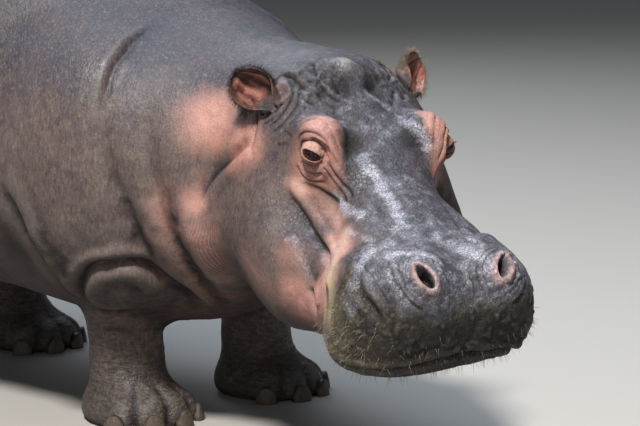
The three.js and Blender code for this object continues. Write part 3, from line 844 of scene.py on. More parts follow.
def toesOn(points):
    # a pad round each nail, and clefts between them
    plan = toePlan
    lift = np.zeros(len(points))
    for name in legNames:
        foot = boxMiddle(name + "_foot")
        nails = [boxMiddle(f"{name}_nail_{i}") for i in nailNumbers]
        close = np.linalg.norm(points[:, :2] - foot[:2], axis=1) < plan["footReach"]
        low = close & (points[:, 2] < plan["footTop"])
        p = points[low]
        bearing = np.arctan2(p[:, 1] - foot[1], p[:, 0] - foot[0])
        ahead = sum(nails)[:2] - len(nails) * foot[:2]
        facing = math.atan2(ahead[1], ahead[0])
        turned = [turnBetween(math.atan2(n[1] - foot[1], n[0] - foot[0]), facing) for n in nails]
        nailBearing = [b + facing for b in sorted(turned)]
        rise = smooth(plan["riseTop"], plan["riseLow"], p[:, 2])
        for b in nailBearing:
            lift[low] += plan["padHeight"] * bell(turnBetween(bearing, b) / plan["padWide"]) * rise
        for a, b in zip(nailBearing, nailBearing[1:]):
            middle = a + turnBetween(b, a) / 2
            lift[low] -= plan["cleftDepth"] * bell(turnBetween(bearing, middle) / plan["cleftWide"]) * rise
    return lift * smooth(0, 0.012, points[:, 2])


def sculpt(mesh):
    points = swellSkin(pointsOf(mesh), normalsOf(mesh))
    points = np.where(toHead(points)[:, :1] > 200, fromHead(raiseLip(toHead(points))), points)
    setPoints(mesh, points)
    for side in ("right", "left"):
        points = shapeLids(points, side)
    setPoints(mesh, points)
    points, edges = pointsOf(mesh), edgesOf(mesh)
    soft = unit(relax(normalsOf(mesh), edges, 0.6, 4))
    points = shapeNostrils(points, soft)
    for fold in neckFolds + faceFolds + earFolds + eyeFolds:
        for flip in (False, True)[:1 if fold.get("only") else 2]:
            points = foldSkin(points, soft, fold, flip)
    setPoints(mesh, points)
    soft = unit(relax(normalsOf(mesh), edges, 0.6, 3))
    sole = smooth(0.0, 0.01, points[:, 2])
    lift = crinkle(points) / 1000 * sole + toesOn(points)
    points = points + soft * lift[:, None]
    points[:, 2] = np.maximum(points[:, 2], 0)
    setPoints(mesh, points)


sculpt(skin.data)
print("skin sculpted")


slitPlan = {"sides": 72, "bow": 1.15, "rings": (15, 24, 30, 46), "ends": (8, 50),
            "nearest": 0.0245, "furthest": 0.034, "rounds": 3}


def eyeDirections(across, up):
    # directions out from the middle of the eye, from degrees across and up
    across, up = np.radians(across), np.radians(up)
    return unit(np.stack([np.sin(across), np.sin(up), np.cos(across) * np.cos(up)], axis=1))


def slitTool(side):
    # closed almond cone that opens the lids
    middle, axes = eyeFrame(side)
    turn = np.linspace(0, 2 * math.pi, slitPlan["sides"], endpoint=False)
    height = np.where(np.sin(turn) > 0, lidPlan["slitUp"], lidPlan["slitDown"])
    y = height * np.sign(np.sin(turn)) * np.abs(np.sin(turn)) ** slitPlan["bow"]
    direction = eyeDirections(lidPlan["slitHalf"] * np.cos(turn), y)
    rings = [direction * r for r in slitPlan["rings"]]
    points = np.concatenate(rings + [np.array([[0, 0, end] for end in slitPlan["ends"]])])
    n, last, faces = len(turn), len(rings) - 1, []
    for k in range(last):
        low, high = k * n, (k + 1) * n
        faces += [[low + i, low + (i + 1) % n, high + (i + 1) % n, high + i] for i in range(n)]
    inner, outer = len(rings) * n, len(rings) * n + 1
    faces += [[inner, (i + 1) % n, i] for i in range(n)]
    faces += [[outer, last * n + i, last * n + (i + 1) % n] for i in range(n)]
    tool = objectFrom("slitTool", fromHead(points @ axes + middle), faces)
    faceOutwards(tool.data)
    return tool


def openLids(skin):
    for side in ("right", "left"):
        tool, middle = slitTool(side), fromHead(eyeFrame(side)[0])
        before = pointsOf(skin.data)
        combine(skin, tool, "DIFFERENCE")
        points, edges = pointsOf(skin.data), edgesOf(skin.data)
        away = np.linalg.norm(points - middle, axis=1)
        near = np.nonzero((away < slitPlan["furthest"]) & (away > slitPlan["nearest"]))[0]
        known = before[np.linalg.norm(before - middle, axis=1) < slitPlan["furthest"] + 0.002]
        fresh = near[~alreadyThere(points[near], known)]
        weight = np.zeros((len(points), 1))
        weight[fresh] = 1
        weight = np.clip(relax(weight, edges, 0.5, 1) * 1.5, 0, 1)
        setPoints(skin.data, relax(points, edges, 0.4 * weight, slitPlan["rounds"]))


openLids(skin)
print("lids opened")


def linear(r, g, b):
    # a colour picked on screen, 0 to 255, as the shader wants it
    values = [c / 255 for c in (r, g, b)]
    return (*[c / 12.92 if c <= 0.04045 else ((c + 0.055) / 1.055) ** 2.4 for c in values], 1)


class Wire:
    # one output of a node, with sums written as plain expressions
    def __init__(self, tree, socket=None):
        self.tree = tree
        self.socket = socket

    def node(self, kind, settings=None, sockets=None, out=0):
        made = self.tree.nodes.new(kind)
        for name, value in (settings or {}).items():
            setattr(made, name, value)
        for name, value in (sockets or {}).items():
            if isinstance(value, Wire):
                self.tree.links.new(value.socket, made.inputs[name])
            else:
                made.inputs[name].default_value = value
        return Wire(self.tree, made.outputs[out])

    def math(self, operation, a, b=0.0):
        return self.node("ShaderNodeMath", {"operation": operation}, {0: a, 1: b})

    def __add__(self, other):
        return self.math("ADD", self, other)

    __radd__ = __add__

    def __sub__(self, other):
        return self.math("SUBTRACT", self, other)

    def __rsub__(self, other):
        return self.math("SUBTRACT", other, self)

    def __mul__(self, other):
        return self.math("MULTIPLY", self, other)

    __rmul__ = __mul__

    def between(self, low, high):
        return self.node("ShaderNodeMapRange", {"interpolation_type": "SMOOTHSTEP"},
                         {"Value": self, "From Min": low, "From Max": high})

    def tint(self, share, first, second):
        return self.node("ShaderNodeMix", {"data_type": "RGBA"}, {0: share, 6: first, 7: second}, 2)

    def mark(self, name):
        return self.node("ShaderNodeAttribute", {"attribute_name": name}, out=2)

    def grain(self, where, size, detail=2.0, rough=0.5, seed=0.0):
        sockets = {"Vector": where, "W": seed, "Scale": 1 / size, "Detail": detail, "Roughness": rough}
        return self.node("ShaderNodeTexNoise", {"noise_dimensions": "4D"}, sockets)

    def streaks(self, across, along, scale, detail):
        flat = self.node("ShaderNodeCombineXYZ", None, {0: across, 1: along})
        return self.node("ShaderNodeTexNoise", {"noise_dimensions": "2D"},
                         {"Vector": flat, "Scale": scale, "Detail": detail})

    def cells(self, where, size, feature="F1"):
        return self.node("ShaderNodeTexVoronoi", {"feature": feature}, {"Vector": where, "Scale": 1 / size})

    def stretched(self, where, amounts):
        return self.node("ShaderNodeVectorMath", {"operation": "MULTIPLY"}, {0: where, 1: amounts})

    def bump(self, strength, distance):
        return self.node("ShaderNodeBump", None, {"Strength": strength, "Distance": distance, "Height": self})


def startMaterial(name):
    mat = bpy.data.materials.new(name)
    mat.use_nodes = True
    tree = mat.node_tree
    surface = tree.nodes["Principled BSDF"]
    start = Wire(tree)
    where = start.node("ShaderNodeTexCoord", out=3)
    return mat, surface, start, where


def feed(mat, surface, links):
    for name, wire in links.items():
        mat.node_tree.links.new(wire.socket, surface.inputs[name])


# places on the skin that take a tone: the head's in its millimetres, the body's in metres
# pink
flushPlaces = [
    {"at": (26, -140, -18), "reach": (74, 60, 68), "share": 1.3},
    {"at": (-22, -116, 34), "reach": (58, 56, 36), "share": 1.15},
    {"at": (90, -138, -84), "reach": (80, 46, 36), "share": 1.0},
    {"at": (22, -152, -80), "reach": (56, 34, 30), "share": 1.2},
    {"at": (62, 178, -96), "reach": (60, 30, 50), "share": 1.1, "only": True},
    {"at": (185, -150, -92), "reach": (66, 44, 44), "share": 1.25},
    {"at": (238, -176, -140), "reach": (44, 40, 66), "share": 1.35},
    {"at": (110, -205, -160), "reach": (80, 60, 50), "share": 0.55},
    {"at": (60, -230, -260), "reach": (130, 90, 70), "share": 0.6},
    {"at": (180, -195, -220), "reach": (80, 60, 60), "share": 1.05},
    {"at": (-165, -215, -330), "reach": (60, 90, 170), "share": 0.6},
    {"at": (-275, -240, -105), "reach": (92, 86, 80), "share": 1.02},
    {"at": (-165, -210, -95), "reach": (66, 60, 66), "share": 1.1},
    {"at": (-185, -142, 15), "reach": (46, 36, 48), "share": 0.6},
    {"at": (300, -150, -235), "reach": (130, 90, 26), "share": 0.7},
    {"at": (-205, -262, -262), "reach": (36, 40, 44), "share": 1.0},
    {"at": (-192, -243, -322), "reach": (36, 40, 44), "share": 1.1},
    {"at": (-180, -222, -376), "reach": (40, 40, 44), "share": 1.1},
    {"at": (-140, -200, -415), "reach": (60, 40, 40), "share": 1.0},
]
bodyFlushPlaces = [
    {"at": (-0.30, -0.60, 0.45), "reach": (0.09, 0.05, 0.14), "share": 0.7},
    {"at": (-0.20, -0.62, 0.30), "reach": (0.14, 0.07, 0.09), "share": 0.8},
    {"at": (-0.27, -0.69, 0.44), "reach": (0.07, 0.06, 0.14), "share": 1.0},
    {"at": (-0.26, -0.59, 0.38), "reach": (0.08, 0.05, 0.08), "share": 0.75},
    {"at": (-0.10, -0.50, 0.24), "reach": (0.3, 0.25, 0.05), "share": 0.5},
    {"at": (0.0, 0.2, 0.25), "reach": (0.42, 0.8, 0.10), "share": 0.6},
    {"at": (-0.24, -0.36, 0.30), "reach": (0.1, 0.06, 0.1), "share": 0.4},
]
# painted shade behind the foreleg, with soil there too
elbowShade = [
    {"at": (-0.385, -0.365, 0.40), "reach": (0.09, 0.052, 0.075), "share": 0.85},
    {"at": (-0.355, -0.36, 0.345), "reach": (0.09, 0.05, 0.06), "share": 0.95},
    {"at": (-0.40, -0.315, 0.47), "reach": (0.08, 0.035, 0.07), "share": 0.5},
    {"at": (-0.30, -0.35, 0.29), "reach": (0.09, 0.05, 0.05), "share": 0.7},
]
# painted shade, near black, in hollows, on the muzzle's front and low on the cheek; on the crown and by the
# ear it is also dark soil
shadePlaces = [
    {"at": (12, -62, 22), "reach": (58, 24, 34), "share": 1.0},
    {"at": (-66, -40, 46), "reach": (50, 50, 30), "share": 0.6},
    {"at": (-130, -34, 52), "reach": (30, 30, 28), "share": 1.15},
    {"at": (-200, -70, 52), "reach": (40, 50, 34), "share": 0.8, "only": True},
    {"at": (-212, -112, 34), "reach": (40, 18, 24), "share": 0.9, "only": True},
    {"at": (-150, -60, 52), "reach": (70, 80, 40), "share": 0.95, "only": True},
    {"at": (-165, 40, 56), "reach": (60, 60, 40), "share": 0.9, "only": True},
    {"at": (-176, -138, 14), "reach": (32, 28, 38), "share": 0.75, "only": True},
    {"at": (66, 150, -34), "reach": (30, 24, 30), "share": 0.5, "only": True},
    {"at": (460, 30, -135), "reach": (90, 170, 92), "share": 1.25},
    {"at": (430, 110, -130), "reach": (80, 80, 110), "share": 1.0, "only": True},
    {"at": (372, -20, -26), "reach": (60, 30, 40), "share": 0.45},
    {"at": (-150, -128, 25), "reach": (36, 30, 34), "share": 0.7},
    {"at": (60, -205, -320), "reach": (150, 90, 80), "share": 0.8},
]
# red-brown in the folds
rustPlaces = [
    {"at": (34, -142, -62), "reach": (40, 30, 20), "share": 0.8},
    {"at": (-215, -215, -170), "reach": (60, 60, 60), "share": 0.8},
    {"at": (-20, -150, -6), "reach": (26, 30, 40), "share": 0.5},
    {"at": (30, 150, -30), "reach": (70, 40, 80), "share": 1.15, "only": True},
    {"at": (-172, -138, 8), "reach": (34, 30, 46), "share": 0.9},
]
# palest pink
palePlaces = [
    {"at": (20, -154, -82), "reach": (40, 24, 16), "share": 0.8},
    {"at": (100, -128, -88), "reach": (60, 26, 16), "share": 0.8},
    {"at": (187, -142, -84), "reach": (50, 26, 20), "share": 0.9},
    {"at": (236, -168, -110), "reach": (24, 24, 40), "share": 0.9},
    {"at": (-191, -8, 78), "reach": (16, 16, 16), "share": 1.0, "only": True},
    {"at": (-275, -240, -105), "reach": (50, 50, 60), "share": 0.2},
    {"at": (-200, -252, -290), "reach": (24, 30, 60), "share": 0.5},
    {"at": (-180, -225, -376), "reach": (26, 30, 50), "share": 0.5},
]
# olive by the lip, with a painted wet highlight
lipSheenPlaces = [
    {"at": (345, -176, -192), "reach": (40, 28, 34), "share": 1.1},
    {"at": (390, -160, -190), "reach": (60, 36, 28), "share": 1.1},
    {"at": (322, -180, -150), "reach": (26, 26, 40), "share": 0.6},
]
# a wet place on the shoulder: less rough, with a painted sheen
shoulderWetSheen = {"at": (-0.335, -0.47, 0.77), "reach": (0.12, 0.12, 0.10), "share": 0.4}
# wet streaks: less rough, with a painted sheen and painted glints along them; a path and how far it spreads
wetSheenStreaks = [
    {"path": [(40, -52, 4), (77, -46, -5), (110, -44, -11), (148, -40, -17), (190, -40, -19),
              (236, -44, -21)], "reach": 19, "share": 0.84, "only": True},
    {"path": [(70, -116, -62), (100, -108, -60), (128, -104, -58), (165, -100, -44)],
     "reach": 17, "share": 0.9},
    {"path": [(-118, 22, 54), (-83, 46, 44), (-52, 62, 40), (-28, 70, 36), (4, 76, 30), (34, 84, 22)],
     "reach": 18, "share": 1.0, "only": True},
    {"path": [(296, -134, -38), (312, -158, -58), (330, -172, -84), (356, -180, -110)],
     "reach": 26, "share": 0.9},
    {"path": [(338, -118, -6), (352, -92, -2), (366, -62, 0), (378, -40, -8)], "reach": 20, "share": 0.9,
     "only": True},
    {"path": [(342, 30, -8), (360, 44, 0), (378, 48, -4), (400, 40, -20)], "reach": 20, "share": 0.9,
     "only": True},
    {"path": [(-150, -110, 32), (-156, -80, 46), (-130, -52, 54), (-108, 10, 54)], "reach": 16, "share": 0.7,
     "only": True},
    {"path": [(180, -128, -66), (210, -120, -54), (250, -116, -44)], "reach": 16, "share": 0.7, "only": True},
]


def spread(places, q, swap=(1, -1, 1)):
    # the strongest of the places at each point, repeated on the other side unless it is for one only
    total = np.zeros(len(q))
    for item in places:
        for side in ((1, 1, 1),) if item.get("only") else ((1, 1, 1), swap):
            total = np.maximum(total, item["share"] * around(q, np.array(item["at"]) * side, item["reach"]))
    return total


def spreadBody(places, points):
    return spread(places, points, (-1, 1, 1))


def streaks(h):
    spots = [{**item, "at": place} for item in wetSheenStreaks for place in curveThrough(item["path"], 14)]
    return spread(spots, h)


def earDistance(points, side):
    seat, axes = earFrame(side)
    return (toHead(points) - seat) @ axes.T


# the mouth's lines: how far off the path they lie, reach, width, strength, and where they fade in or out; the
# edge line is a paler olive band above the mouth that stands partly for a painted highlight
lipPlan = {"lowerLip": {"off": (-9, 0, -9), "reach": 0.03, "wide": 0.010, "share": 1, "fade": None},
           "edge": {"off": (12, 0, 13), "reach": 0.04, "wide": 0.016, "share": 1, "fade": (0.8, 0.55)},
           "mouthLine": {"off": None, "reach": 0.02, "wide": 0.007, "share": 1.3, "fade": (0.0, 0.1)}}


def markLips(points):
    marks = {}
    for name, plan in lipPlan.items():
        total = np.zeros(len(points))
        for flip in (1, -1):
            line = raiseLip(curveThrough(mouthPath, 80) * [1, flip, 1])
            if plan["off"]:
                path = fromHead(line + plan["off"])
            else:
                path = snapTo(points, fromHead(line)) - [0, 0, 0.0015]
            index, along, offset, tangent = nearPath(points, path, plan["reach"])
            value = plan["share"] * bell(np.linalg.norm(offset, axis=1) / plan["wide"])
            if plan["fade"]:
                value = value * smooth(*plan["fade"], along)
            total[index] = np.maximum(total[index], value)
        marks[name] = total
    return marks


def markHoles(points, normals, h):
    # in and round the ears, nostrils and lids
    marks = {}
    for side in ("right", "left"):
        right = side == "right"
        q = earDistance(points, side)
        radial = np.hypot(q[:, 0] - earPlan["middle"], q[:, 1])
        part = smooth(8, 22, q[:, 0]) * smooth(62, 54, radial) * smooth(42, 32, np.abs(q[:, 2] - 2))
        within = part * smooth(-0.1, 0.25, normals @ turnFromHead(earFrame(side)[1][2]))
        z, oval, past, out = nostrilField(points, side)
        middle, axes = eyeFrame(side)
        e = (h - middle) @ axes.T
        lid = smooth(34, 27, np.linalg.norm(e, axis=1)) * smooth(-8, 4, e[:, 2])
        found = {"ear": within, "furry": (part - within) * (0.5 if right else 1),
                 "earRim": part * smooth(28, 38, radial) * (1 if right else 0.35),
                 "rimmed": bell((past - 5) / 6.5) * (np.abs(z) < 30),
                 "inside": smooth(0.95, 0.6, oval) * (np.abs(z) < 45),
                 "lid": lid, "upperLid": 0.4 * lid * smooth(-6, 8, e[:, 1])}
        for name, values in found.items():
            marks[name] = np.maximum(marks.get(name, 0), values)
    return marks


def markRelief(points, normals, edges):
    # how far the skin lies below its surroundings, in millimetres
    hollow = ((relax(points, edges, 0.5, 8) - points) * normals).sum(1) * 1000
    hollow = relax(hollow[:, None], edges, 0.5, 1)[:, 0]
    return {"hollow": np.clip(hollow / 0.9, 0, 1), "ridge": np.clip(-hollow / 1.2, 0, 1)}


def markSkin(mesh):
    points, normals, edges = pointsOf(mesh), normalsOf(mesh), edgesOf(mesh)
    h = toHead(points)
    # ragged copies of the places, so that no tone ends in a clean line
    wander = np.stack([noise(h, 60, seed, 3) for seed in (41, 42, 43)], axis=1)
    hw = h + 26 * wander
    nearby = h + 9 * np.stack([noise(h, 22, seed, 3) for seed in (51, 52, 53)], axis=1)
    bodyNearby = points + 0.03 * wander
    side, height, facingUp = np.abs(hw[:, 1]), points[:, 2], normals[:, 2]
    holes = markHoles(points, normals, h)
    marks = {**markLips(points), **markRelief(points, normals, edges)}
    onHead = smooth(-290, -210, h[:, 0])
    # top of the head and back are slate, and the flanks brown
    top = smooth(-0.35, 0.95, facingUp + 0.22 * wander[:, 0] + 1.1 * (height - 0.75))
    bridge = smooth(-120, -40, hw[:, 2]) * smooth(125, 70, side) * smooth(-330, -200, h[:, 0])
    muzzle = smooth(244, 276, 0.5 * (hw[:, 0] + h[:, 0]) - 0.25 * side + 30 + 0.35 * (hw[:, 2] + 60))
    muzzle = muzzle * smooth(-330, -240, hw[:, 2])
    elbow = spreadBody(elbowShade, bodyNearby)
    # painted shade: near black at the shade places, and darker on skin that faces down
    shade = np.maximum(spread(shadePlaces, nearby), 0.9 * smooth(0.15, -0.75, facingUp))
    flush = np.maximum(spread(flushPlaces, h + 14 * wander), spreadBody(bodyFlushPlaces, bodyNearby))
    flush = flush * (1 - 0.96 * muzzle) * (1 - 0.9 * bridge * smooth(92, 66, side))
    flush = np.maximum(flush * (1 - 0.9 * spread(shadePlaces[:2], h)), holes.pop("lid"))
    pale = np.maximum(holes.pop("upperLid"), spread(palePlaces, nearby))
    mud = (0.5 * smooth(0, -60, hw[:, 2]) + 0.5 * smooth(-40, -110, hw[:, 2])) * muzzle
    mud = np.maximum(mud, 0.6 * smooth(0.34, 0.06, height + 0.03 * wander[:, 1]))
    knee = bell((height - 0.28) / 0.1) * bell((points[:, 1] + 0.45) / 0.2)
    mud = np.maximum(mud, 0.5 * knee * smooth(0.15, 0.3, np.abs(points[:, 0])))
    # behind the foreleg the painted shade also takes the soil's colour
    mud = np.maximum(mud, 0.9 * elbow)
    # wet skin is less rough and also gets a painted sheen and painted glints in its colour
    wet = np.maximum(1.25 * streaks(nearby), 0.5 * smooth(0.17, 0.10, height))
    wet = np.maximum(wet, 0.46 * bridge * smooth(-60, 20, h[:, 2] + 0.3 * h[:, 0]))
    # more painted sheen on skin that faces up
    wet = np.maximum(wet, (0.2 + 0.35 * onHead) * smooth(0.3, 0.85, facingUp + 0.2 * wander[:, 2]))
    wet = np.maximum(wet, 0.66 * muzzle * smooth(-120, -50, hw[:, 2]))
    sheenSpread = np.linalg.norm((points - shoulderWetSheen["at"]) / shoulderWetSheen["reach"] + 0.25 * wander, axis=1)
    wet = np.maximum(wet, shoulderWetSheen["share"] * bell(sheenSpread))
    pleatArea, pleatAcross = pleats(points)
    # the lip's paler edge and spots: olive, with a painted wet highlight
    marks["edge"] = np.maximum(marks["edge"], spread(lipSheenPlaces, nearby))
    marks["lowerLip"] = marks["lowerLip"] * (1 - 0.7 * muzzle)
    marks.update(holes)
    slate = np.maximum.reduce([top, bridge, muzzle])
    marks.update({"flush": np.clip(flush, 0, 1.3), "slate": np.clip(slate, 0, 1), "mud": np.clip(mud, 0, 1),
                  "wet": np.clip(wet, 0, 1.25), "shade": np.clip(np.maximum(shade, elbow), 0, 1),
                  "rust": spread(rustPlaces, nearby), "pale": pale, "onHead": onHead,
                  "onLeg": smooth(0.34, 0.26, height), "pleat": pleatArea, "across": pleatAcross})
    writeMarks(mesh, marks)


markSkin(skin.data)
print("skin marked")

hideColours = {"brown": linear(98, 84, 79), "brownDark": linear(79, 66, 67), "slate": linear(51, 53, 65),
               "slateWarm": linear(66, 60, 68), "pink": linear(184, 136, 125),
               "pinkDull": linear(150, 109, 101), "deepPink": linear(146, 88, 76),
               "rust": linear(150, 96, 76), "pale": linear(202, 176, 166),
               "mud": linear(74, 66, 53), "mudDark": linear(24, 20, 16), "crumb": linear(122, 112, 96),
               "dark": linear(20, 17, 18), "earInside": linear(140, 82, 68),
               "earFlesh": linear(178, 120, 104), "earRim": linear(46, 36, 32),
               "fur": linear(156, 136, 116), "paleLip": linear(160, 134, 112),
               "dust": linear(140, 132, 128), "sheen": linear(188, 190, 206), "nostril": linear(26, 13, 11),
               "rim": linear(182, 144, 134), "lipEdgeSheen": linear(164, 152, 122)}
# sizes of the hide's grain, in metres, and how strongly it stands up
hideGrain = {"broad": 0.09, "patchy": 0.028, "fine": 0.006, "specks": 0.0034, "crumbs": 0.011,
             "pores": 0.0046, "cracks": 0.0085, "nodules": 0.0105, "strokes": 0.0052, "rings": 0.02,
             "warp": 0.012, "bump": 0.5, "bumpHeight": 0.003, "specular": 0.38}


class HideTones:
    # the marks and the grains that every layer of the hide is mixed from
    def __init__(self, start, where):
        size = hideGrain
        for name in ("flush", "slate", "mud", "wet", "shade", "rust", "pale", "hollow", "ridge", "ear",
                     "earRim", "lowerLip", "inside", "mouthLine", "onHead", "onLeg", "furry", "rimmed",
                     "edge"):
            setattr(self, name, start.mark(name))
        self.pleat = start.math("SINE", start.mark("across") * 1.1).between(-0.2, 1.0) * start.mark("pleat")
        self.broad = start.grain(where, size["broad"], 4.0, 0.6)
        self.patchy = start.grain(where, size["patchy"], 4.0, 0.65, 3.0)
        self.fine = start.grain(where, size["fine"], 3.0, 0.65, 5.0)
        self.specks = start.grain(where, size["specks"], 2.0, 0.6, 7.0)
        self.crumbs = start.grain(where, size["crumbs"], 3.0, 0.7, 9.0)
        self.pores = start.cells(where, size["pores"])
        self.strokes = start.grain(start.stretched(where, (1.0, 1.0, 0.34)), size["strokes"], 3.0, 0.65, 13.0)
        self.rings = start.grain(start.stretched(where, (1.0, 1.0, 3.2)), size["rings"], 3.0, 0.6, 11.0)
        jitter = start.node("ShaderNodeCombineXYZ", None, {0: self.patchy, 1: self.broad, 2: self.fine})
        sockets = {0: size["warp"], 4: where, 5: jitter}
        warped = start.node("ShaderNodeMix", {"data_type": "VECTOR"}, sockets, 1)
        self.net = start.cells(warped, size["cracks"], "DISTANCE_TO_EDGE")
        self.crack = self.net.between(0.10, 0.0) * self.patchy.between(0.38, 0.62) * (self.onHead * 0.7 + 0.3)
        self.nodules = start.cells(warped, size["nodules"]).between(0.5, 0.2)
        self.nodules = self.nodules * self.crumbs.between(0.42, 0.56)
        ragged = self.patchy - 0.5
        self.slateShare = (self.slate + (self.broad - 0.5) * 0.5 + ragged * 0.35).between(0.1, 0.95)
        self.flushShare = (self.flush + ragged * 0.55 + (self.fine - 0.5) * 0.25).between(0.2, 0.95)
        self.mudShare = (self.mud + ragged * 0.7 + (self.fine - 0.5) * 0.5).between(0.35, 0.75)
        self.mudShare = self.mudShare * self.mud.between(0.0, 0.25)
        self.open = (1.0 - self.shade * 0.8) * (1.0 - self.mudShare * 0.6)


def layFlesh(start, t):
    # brown and slate, then pink, ears and lips
    c = hideColours
    brown = start.tint(t.patchy.between(0.3, 0.75), c["brown"], c["brownDark"])
    slate = start.tint(t.broad.between(0.35, 0.65), c["slate"], c["slateWarm"])
    hide = start.tint(t.slateShare, brown, slate)
    hide = start.tint(t.strokes.between(0.5, 0.72) * 0.34, hide, c["dust"])
    hide = start.tint(t.strokes.between(0.5, 0.28) * 0.5, hide, c["dark"])
    blush = start.tint(t.patchy.between(0.35, 0.7), c["pink"], c["pinkDull"])
    blush = start.tint(t.pale * 0.8, blush, c["pale"])
    blush = start.tint(t.rust * 0.8, blush, c["rust"])
    # painted shade: the pink is deeper in the hollows
    blush = start.tint(t.hollow * (t.onHead * 0.4 + 0.25), blush, c["deepPink"])
    hide = start.tint(t.flushShare, hide, blush)
    hide = start.tint(t.patchy.between(0.6, 0.78) * t.flushShare * (1.0 - t.pale) * 0.4, hide, c["brown"])
    ear = start.tint(t.patchy.between(0.3, 0.7), c["earInside"], c["earFlesh"])
    hide = start.tint(t.ear * 0.92, hide, ear)
    fur = start.tint(t.fine.between(0.35, 0.65), c["brown"], c["fur"])
    hide = start.tint(t.furry * 0.75, hide, fur)
    hide = start.tint(t.earRim * t.fine.between(0.3, 0.6) * 0.8, hide, c["earRim"])
    return start.tint(t.lowerLip * 0.8, hide, c["paleLip"])


def laySoil(start, t, hide):
    # dried soil, the rims and the lip with its painted highlight that show through it, painted shade in the
    # shaded places and the folds, and dark pores
    c = hideColours
    soil = start.tint((t.fine + t.patchy).between(0.85, 1.15), c["mudDark"], c["mud"])
    soil = start.tint(t.crumbs.between(0.45, 0.75) * 0.7, soil, c["mudDark"])
    soil = start.tint(t.nodules * (t.onHead * 0.5 + 0.1), soil, c["crumb"])
    hide = start.tint(t.mudShare, hide, soil)
    hide = start.tint(t.rimmed * (t.fine + t.patchy).between(0.72, 1.1), hide, c["rim"])
    # painted highlight: a paler olive along the lip's edge and spots
    lipSheen = t.edge * (1.0 - t.shade) * (1.0 - t.patchy.between(0.4, 0.7) * 0.5) * 0.7
    hide = start.tint(lipSheen, hide, c["lipEdgeSheen"])
    # painted shade from the shade places and the undersides
    hide = start.tint(t.shade * 0.84, hide, c["dark"])
    hide = start.tint(t.pores.between(0.34, 0.12) * 0.34, hide, c["dark"])
    hide = start.tint(t.crack * (1.0 - t.flushShare * 0.7) * (t.slateShare * 0.4 + 0.15), hide, c["dark"])
    hide = start.tint(t.pale * (1.0 - t.flushShare) * 0.7, hide, c["dust"])
    # painted shade in the folds and hollows
    creaseShade = t.hollow * (1.0 - t.flushShare * 0.8) * (t.onHead * 0.5 + t.shade * 0.6 + 0.38)
    hide = start.tint(creaseShade, hide, c["dark"])
    hide = start.tint(t.ridge * 0.12, hide, c["dust"])
    return start.tint(t.pleat * 0.12, hide, c["pale"])


def layWater(start, t, hide):
    # a thin wet film as a painted sheen, painted glints in it, and the dark openings
    c = hideColours
    sheenSpread = (t.wet + (t.fine - 0.5) * 0.8 + (t.patchy - 0.5) * 1.6).between(0.5, 1.1)
    paintedFilmSheen = (t.wet + (t.patchy - 0.5) * 1.2).between(0.35, 1.2) * t.open
    paintedGlint = sheenSpread * t.specks.between(0.42, 0.64) * t.open
    hide = start.tint(paintedFilmSheen * 0.32, hide, c["sheen"])
    hide = start.tint(paintedGlint * 0.8, hide, c["sheen"])
    # painted shade inside the nostrils: near black, with a little pink lining on the head
    liningAndShade = start.tint(t.patchy.between(0.5, 0.65) * t.onHead * 0.5, c["nostril"], c["deepPink"])
    hide = start.tint(t.inside * 0.97, hide, liningAndShade)
    hide = start.tint(t.mouthLine * 0.97, hide, c["dark"])
    return start.tint(t.onLeg * t.rings.between(0.55, 0.4) * 0.45, hide, c["dark"])


def makeHide():
    mat, surface, start, where = startMaterial("hide")
    t = HideTones(start, where)
    hide = layWater(start, t, laySoil(start, t, layFlesh(start, t)))
    moist = t.wet * (1.0 - t.mudShare * 0.6) + (t.broad - 0.5) * 0.6 + (t.patchy - 0.5) * 0.6
    rough = 0.54 - moist.between(0.1, 0.9) * 0.3 + (t.fine - 0.5) * 0.2 + t.inside * 0.3 + t.shade * 0.3
    height = (t.onLeg * t.rings * 2.6 + t.pleat * 0.4 + t.strokes * 0.8 + t.fine * (t.onHead * 0.3 + 0.2)
              + t.pores * 0.25 + t.net.between(0.0, 0.12) * (t.onHead * t.slateShare * 0.6 + 0.05)
              + t.patchy * 1.2 + t.specks * 0.35 + t.mudShare * (t.crumbs * 1.6 + t.nodules * 1.2))
    bump = height.bump(hideGrain["bump"], hideGrain["bumpHeight"])
    feed(mat, surface, {"Base Color": hide, "Roughness": rough, "Normal": bump})
    surface.inputs["Specular IOR Level"].default_value = hideGrain["specular"]
    return mat


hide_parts(*fleshNodes, "ear_left", "ear_right")
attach(skin, "root")
skin.data.materials.clear()
skin.data.materials.append(makeHide())
skin.data.polygons.foreach_set("material_index", [0] * len(skin.data.polygons))
shadeSmooth(skin.data)
print("hide made")


# eyes: wet balls behind the lids
eyePlan = {"radius": 23.9, "bulge": 1.1, "iris": 34, "pupilWide": 17, "pupilTall": 10}
eyeColours = {"white": linear(60, 38, 33), "iris": linear(32, 18, 15), "irisEdge": linear(20, 12, 11),
              "irisInner": linear(66, 40, 29), "pupil": linear(6, 5, 6), "vein": linear(110, 50, 44)}


def makeEyeMaterial():
    mat, surface, start, where = startMaterial("eyeball")
    c = eyeColours
    ring, turn, pupil = start.mark("irisRing"), start.mark("irisTurn"), start.mark("pupilRing")
    spokes = start.streaks(turn * 9.0, ring * 1.5, 2.0, 3.0)
    iris = start.tint(spokes.between(0.35, 0.7), c["iris"], c["irisInner"])
    iris = start.tint(ring.between(0.72, 1.0), iris, c["irisEdge"])
    veins = start.grain(where, 0.002, 4.0, 0.7)
    white = start.tint(veins.between(0.5, 0.7) * 0.5, c["white"], c["vein"])
    ball = start.tint(ring.between(0.97, 1.06), iris, white)
    ball = start.tint(pupil.between(1.08, 0.92), ball, c["pupil"])
    bump = veins.bump(0.05, 0.0004)
    feed(mat, surface, {"Base Color": ball, "Normal": bump, "Roughness": veins * 0.04 + 0.06})
    surface.inputs["Specular IOR Level"].default_value = 0.3
    return mat


